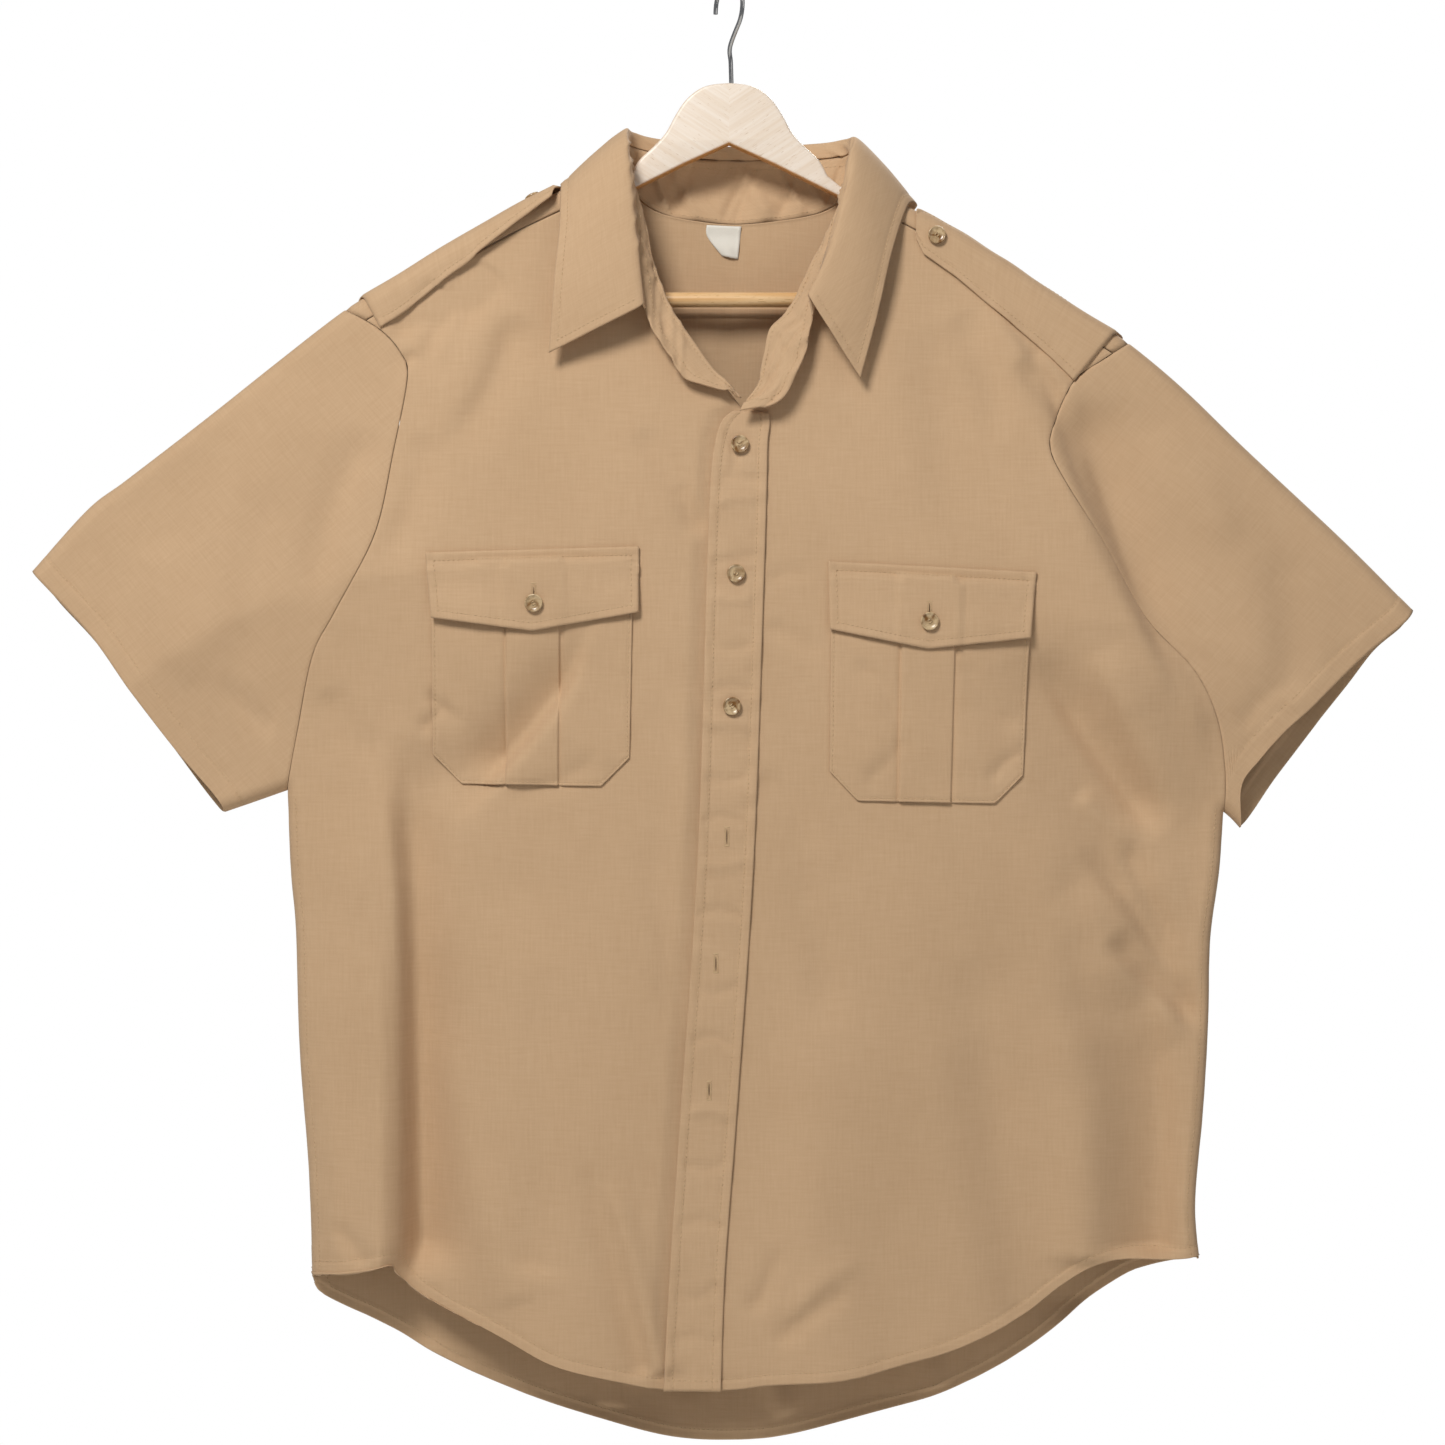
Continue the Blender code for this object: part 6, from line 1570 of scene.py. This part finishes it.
# The right arm's upper and lower edges, as (x, z) in millimetres from the middle outwards
# and back, and the places between, where it follows the shoulder's ridge
ARM_HEAD = in_metres([
    (0, -68.4), (11, -69.4), (20, -72.5), (29, -80), (36, -90.5), (42, -101.5), (50, -110.5),
    (60, -120), (65.5, -130),
])
ARM_UNDER_RIDGE = in_metres([74, 92, 126, 155, 185, 209])
ARM_CLEARANCE = 0.0056
ARM_LOWER = in_metres([
    (214, -222.5), (194, -224), (194, -205.5), (170, -195), (124, -170), (68, -141.5),
    (30, -122.5), (0, -108.8),
])
BAR_RADIUS = 0.0050
BAR_HEIGHT = -0.2122
BAR_HALF_LENGTH = 0.1937
BAR_EDGE = 0.0006
BAR_TURNS = 40
GRAIN = (0.0022, 0.060, 3.0)
PORES = (0.0006, 0.0060, 1.0)
GRAIN_TILT = math.radians(33)
# Painted shade: this warm, darker colour on the arms' downward faces stands in for the shade under them.
UNDERSIDE_SHADE = "#D89A55"


def wood(name, pale, deep, pore, tilt_by_side):
    """Lacquered wood with its grain along each arm, and painted shade: a warmer, darker colour on the faces
    that look down.
    """
    made, tree, shader = new_material(name, 0.38, Coat_Weight=0.25, Coat_Roughness=0.25)
    place = add_node(tree, "TexCoord").outputs["Object"]
    parts = add_node(tree, "SeparateXYZ", {0: place})
    side = add_node(tree, "Math", {0: parts.outputs["X"]}, operation="SIGN")
    tilt = add_node(tree, "Math", {0: side, 1: GRAIN_TILT * tilt_by_side}, operation="MULTIPLY")
    turned_place = add_node(tree, "VectorRotate", {
        "Vector": place, "Axis": (0.0, 1.0, 0.0), "Angle": tilt,
    }, rotation_type="AXIS_ANGLE")
    noises = []
    for width, length, detail in (GRAIN, PORES):
        stretch = add_node(tree, "VectorMath", {
            0: turned_place, 1: (1 / length, 1 / width, 1 / width),
        }, operation="MULTIPLY")
        noises.append(add_node(tree, "TexNoise", {"Vector": stretch, "Scale": 1.0, "Detail": detail}))
    grain_share = add_node(tree, "MapRange", {"Value": noises[0], "From Min": 0.35, "From Max": 0.70})
    pore_share = add_node(tree, "MapRange", {
        "Value": noises[1], "From Min": 0.66, "From Max": 0.74, "To Min": 0.0, "To Max": 0.7,
    })
    # Painted shade: the share of the warm underside colour, larger on faces that look down.
    underside_shade = add_node(tree, "Attribute", attribute_name="underside_shade")
    colour = linear(pale)
    for share, tone in ((grain_share.outputs[0], deep), (pore_share.outputs[0], pore),
                        (underside_shade.outputs["Fac"], UNDERSIDE_SHADE)):
        mixed = add_node(tree, "Mix", {0: share, 6: colour, 7: linear(tone)}, data_type="RGBA")
        colour = mixed.outputs[2]
    tree.links.new(colour, shader.inputs["Base Color"])
    relief = add_node(tree, "Bump", {"Height": noises[1], "Strength": 0.15, "Distance": 0.0003})
    tree.links.new(relief.outputs[0], shader.inputs["Normal"])
    return made


def soften(form, along_axis, offset, segments):
    """Bevels the edges that lie square to an axis."""
    rim = [
        edge for edge in form.edges
        if abs(edge.verts[0].co[along_axis] - edge.verts[1].co[along_axis]) < 1e-6
    ]
    bmesh.ops.bevel(
        form, geom=rim, offset=offset, offset_type="OFFSET", segments=segments,
        profile=0.5, affect="EDGES", material=-1, clamp_overlap=True,
    )


def arm_outline(side):
    head = smooth_line(ARM_HEAD * (side, 1), 4)
    under = [(side * x, ridge_height(side * x) - ARM_CLEARANCE) for x in ARM_UNDER_RIDGE]
    return [*head, *under, *(ARM_LOWER * (side, 1))]


form = bmesh.new()
outline = arm_outline(1) + arm_outline(-1)[-2:0:-1]
face = form.faces.new([form.verts.new((x, -WOOD_THICKNESS / 2, z)) for x, z in outline])
grown = bmesh.ops.extrude_face_region(form, geom=[face])
moved = [part for part in grown["geom"] if isinstance(part, bmesh.types.BMVert)]
bmesh.ops.translate(form, verts=moved, vec=(0.0, WOOD_THICKNESS, 0.0))
bmesh.ops.recalc_face_normals(form, faces=form.faces)
soften(form, 1, WOOD_EDGE, 5)
mesh = mesh_of(form, "hanger_arms_wood", 35)
# Painted shade: each point gets a share of the warm underside colour as its face turns downwards.
mesh.attributes.new("underside_shade", "FLOAT", "POINT").data.foreach_set("value", [
    min(1.0, max(0.0, -2.5 * vert.normal.z - 0.9)) for vert in mesh.vertices
])
arm_wood = wood("lacquered_pale_wood", "#F4E8DC", "#EBDAC8", "#BE9C78", 1.0)
put("hanger_arms_wood", mesh, arm_wood, "hanger_arms")

form = bmesh.new()
lay = Matrix.Translation((0.0, 0.0, BAR_HEIGHT)) @ Matrix.Rotation(math.pi / 2, 4, "Y")
bmesh.ops.create_cone(
    form, cap_ends=True, segments=BAR_TURNS, radius1=BAR_RADIUS, radius2=BAR_RADIUS,
    depth=2 * BAR_HALF_LENGTH, matrix=lay,
)
soften(form, 0, BAR_EDGE, 2)
bar_wood = wood("lacquered_bar_wood", "#ECC898", "#DEAF76", "#B08248", 0.0)
put("hanger_bar_wood", mesh_of(form, "hanger_bar_wood", 40), bar_wood, "hanger_bar")


# The hook: drawn steel wire, 3 mm thick, bent to an open loop and screwed into the arms.
# Bright chrome plating gives it clear reflections with faint drawing marks.
HOOK_WIRE = 0.0015
HOOK_RADIUS = 0.0190
HOOK_TURN = math.radians(62)
HOOK_STEM = [(0.0008, -0.0040, -0.0440), (0.0012, 0.0, -0.0540), (0.0016, 0.0, -0.0679)]

chrome, tree, shader, drawn = mottled(
    "chromed_wire", 0.12, 0.002, "#B9BBBE", "#D8DADD", Metallic=1.0,
)
chrome_rough = add_node(tree, "MapRange", {
    "Value": drawn, "From Min": 0.3, "From Max": 0.7, "To Min": 0.08, "To Max": 0.2,
})
tree.links.new(chrome_rough.outputs[0], shader.inputs["Roughness"])

turns = np.radians(np.linspace(182, -38, 67))
reach = HOOK_RADIUS * np.cos(turns)
height = HOOK_WIRE - HOOK_RADIUS + HOOK_RADIUS * np.sin(turns)
loop = np.stack([reach * math.cos(HOOK_TURN), -reach * math.sin(HOOK_TURN), height], axis=-1)
stem = section_of([loop[-4], loop[-1], *HOOK_STEM], np.linspace(0.25, 1, 26))[1:]
wire = bpy.data.curves.new("hook_route", "CURVE")
wire.dimensions = "3D"
wire.bevel_depth = HOOK_WIRE
wire.bevel_resolution = 6
wire.use_fill_caps = True
route = wire.splines.new("POLY")
route.points.add(len(loop) + len(stem) - 1)
for point, place in zip(route.points, [*loop, *stem]):
    point.co = (*place, 1.0)
bent = add_object("hook_route", wire)
graph = bpy.context.evaluated_depsgraph_get()
form = bmesh.new()
form.from_mesh(bpy.data.meshes.new_from_object(bent.evaluated_get(graph)))
bpy.data.objects.remove(bent)
bmesh.ops.remove_doubles(form, verts=form.verts, dist=0.00001)
put("hanger_hook_wire", mesh_of(form, "hanger_hook_wire", 50), chrome, "hanger_hook")
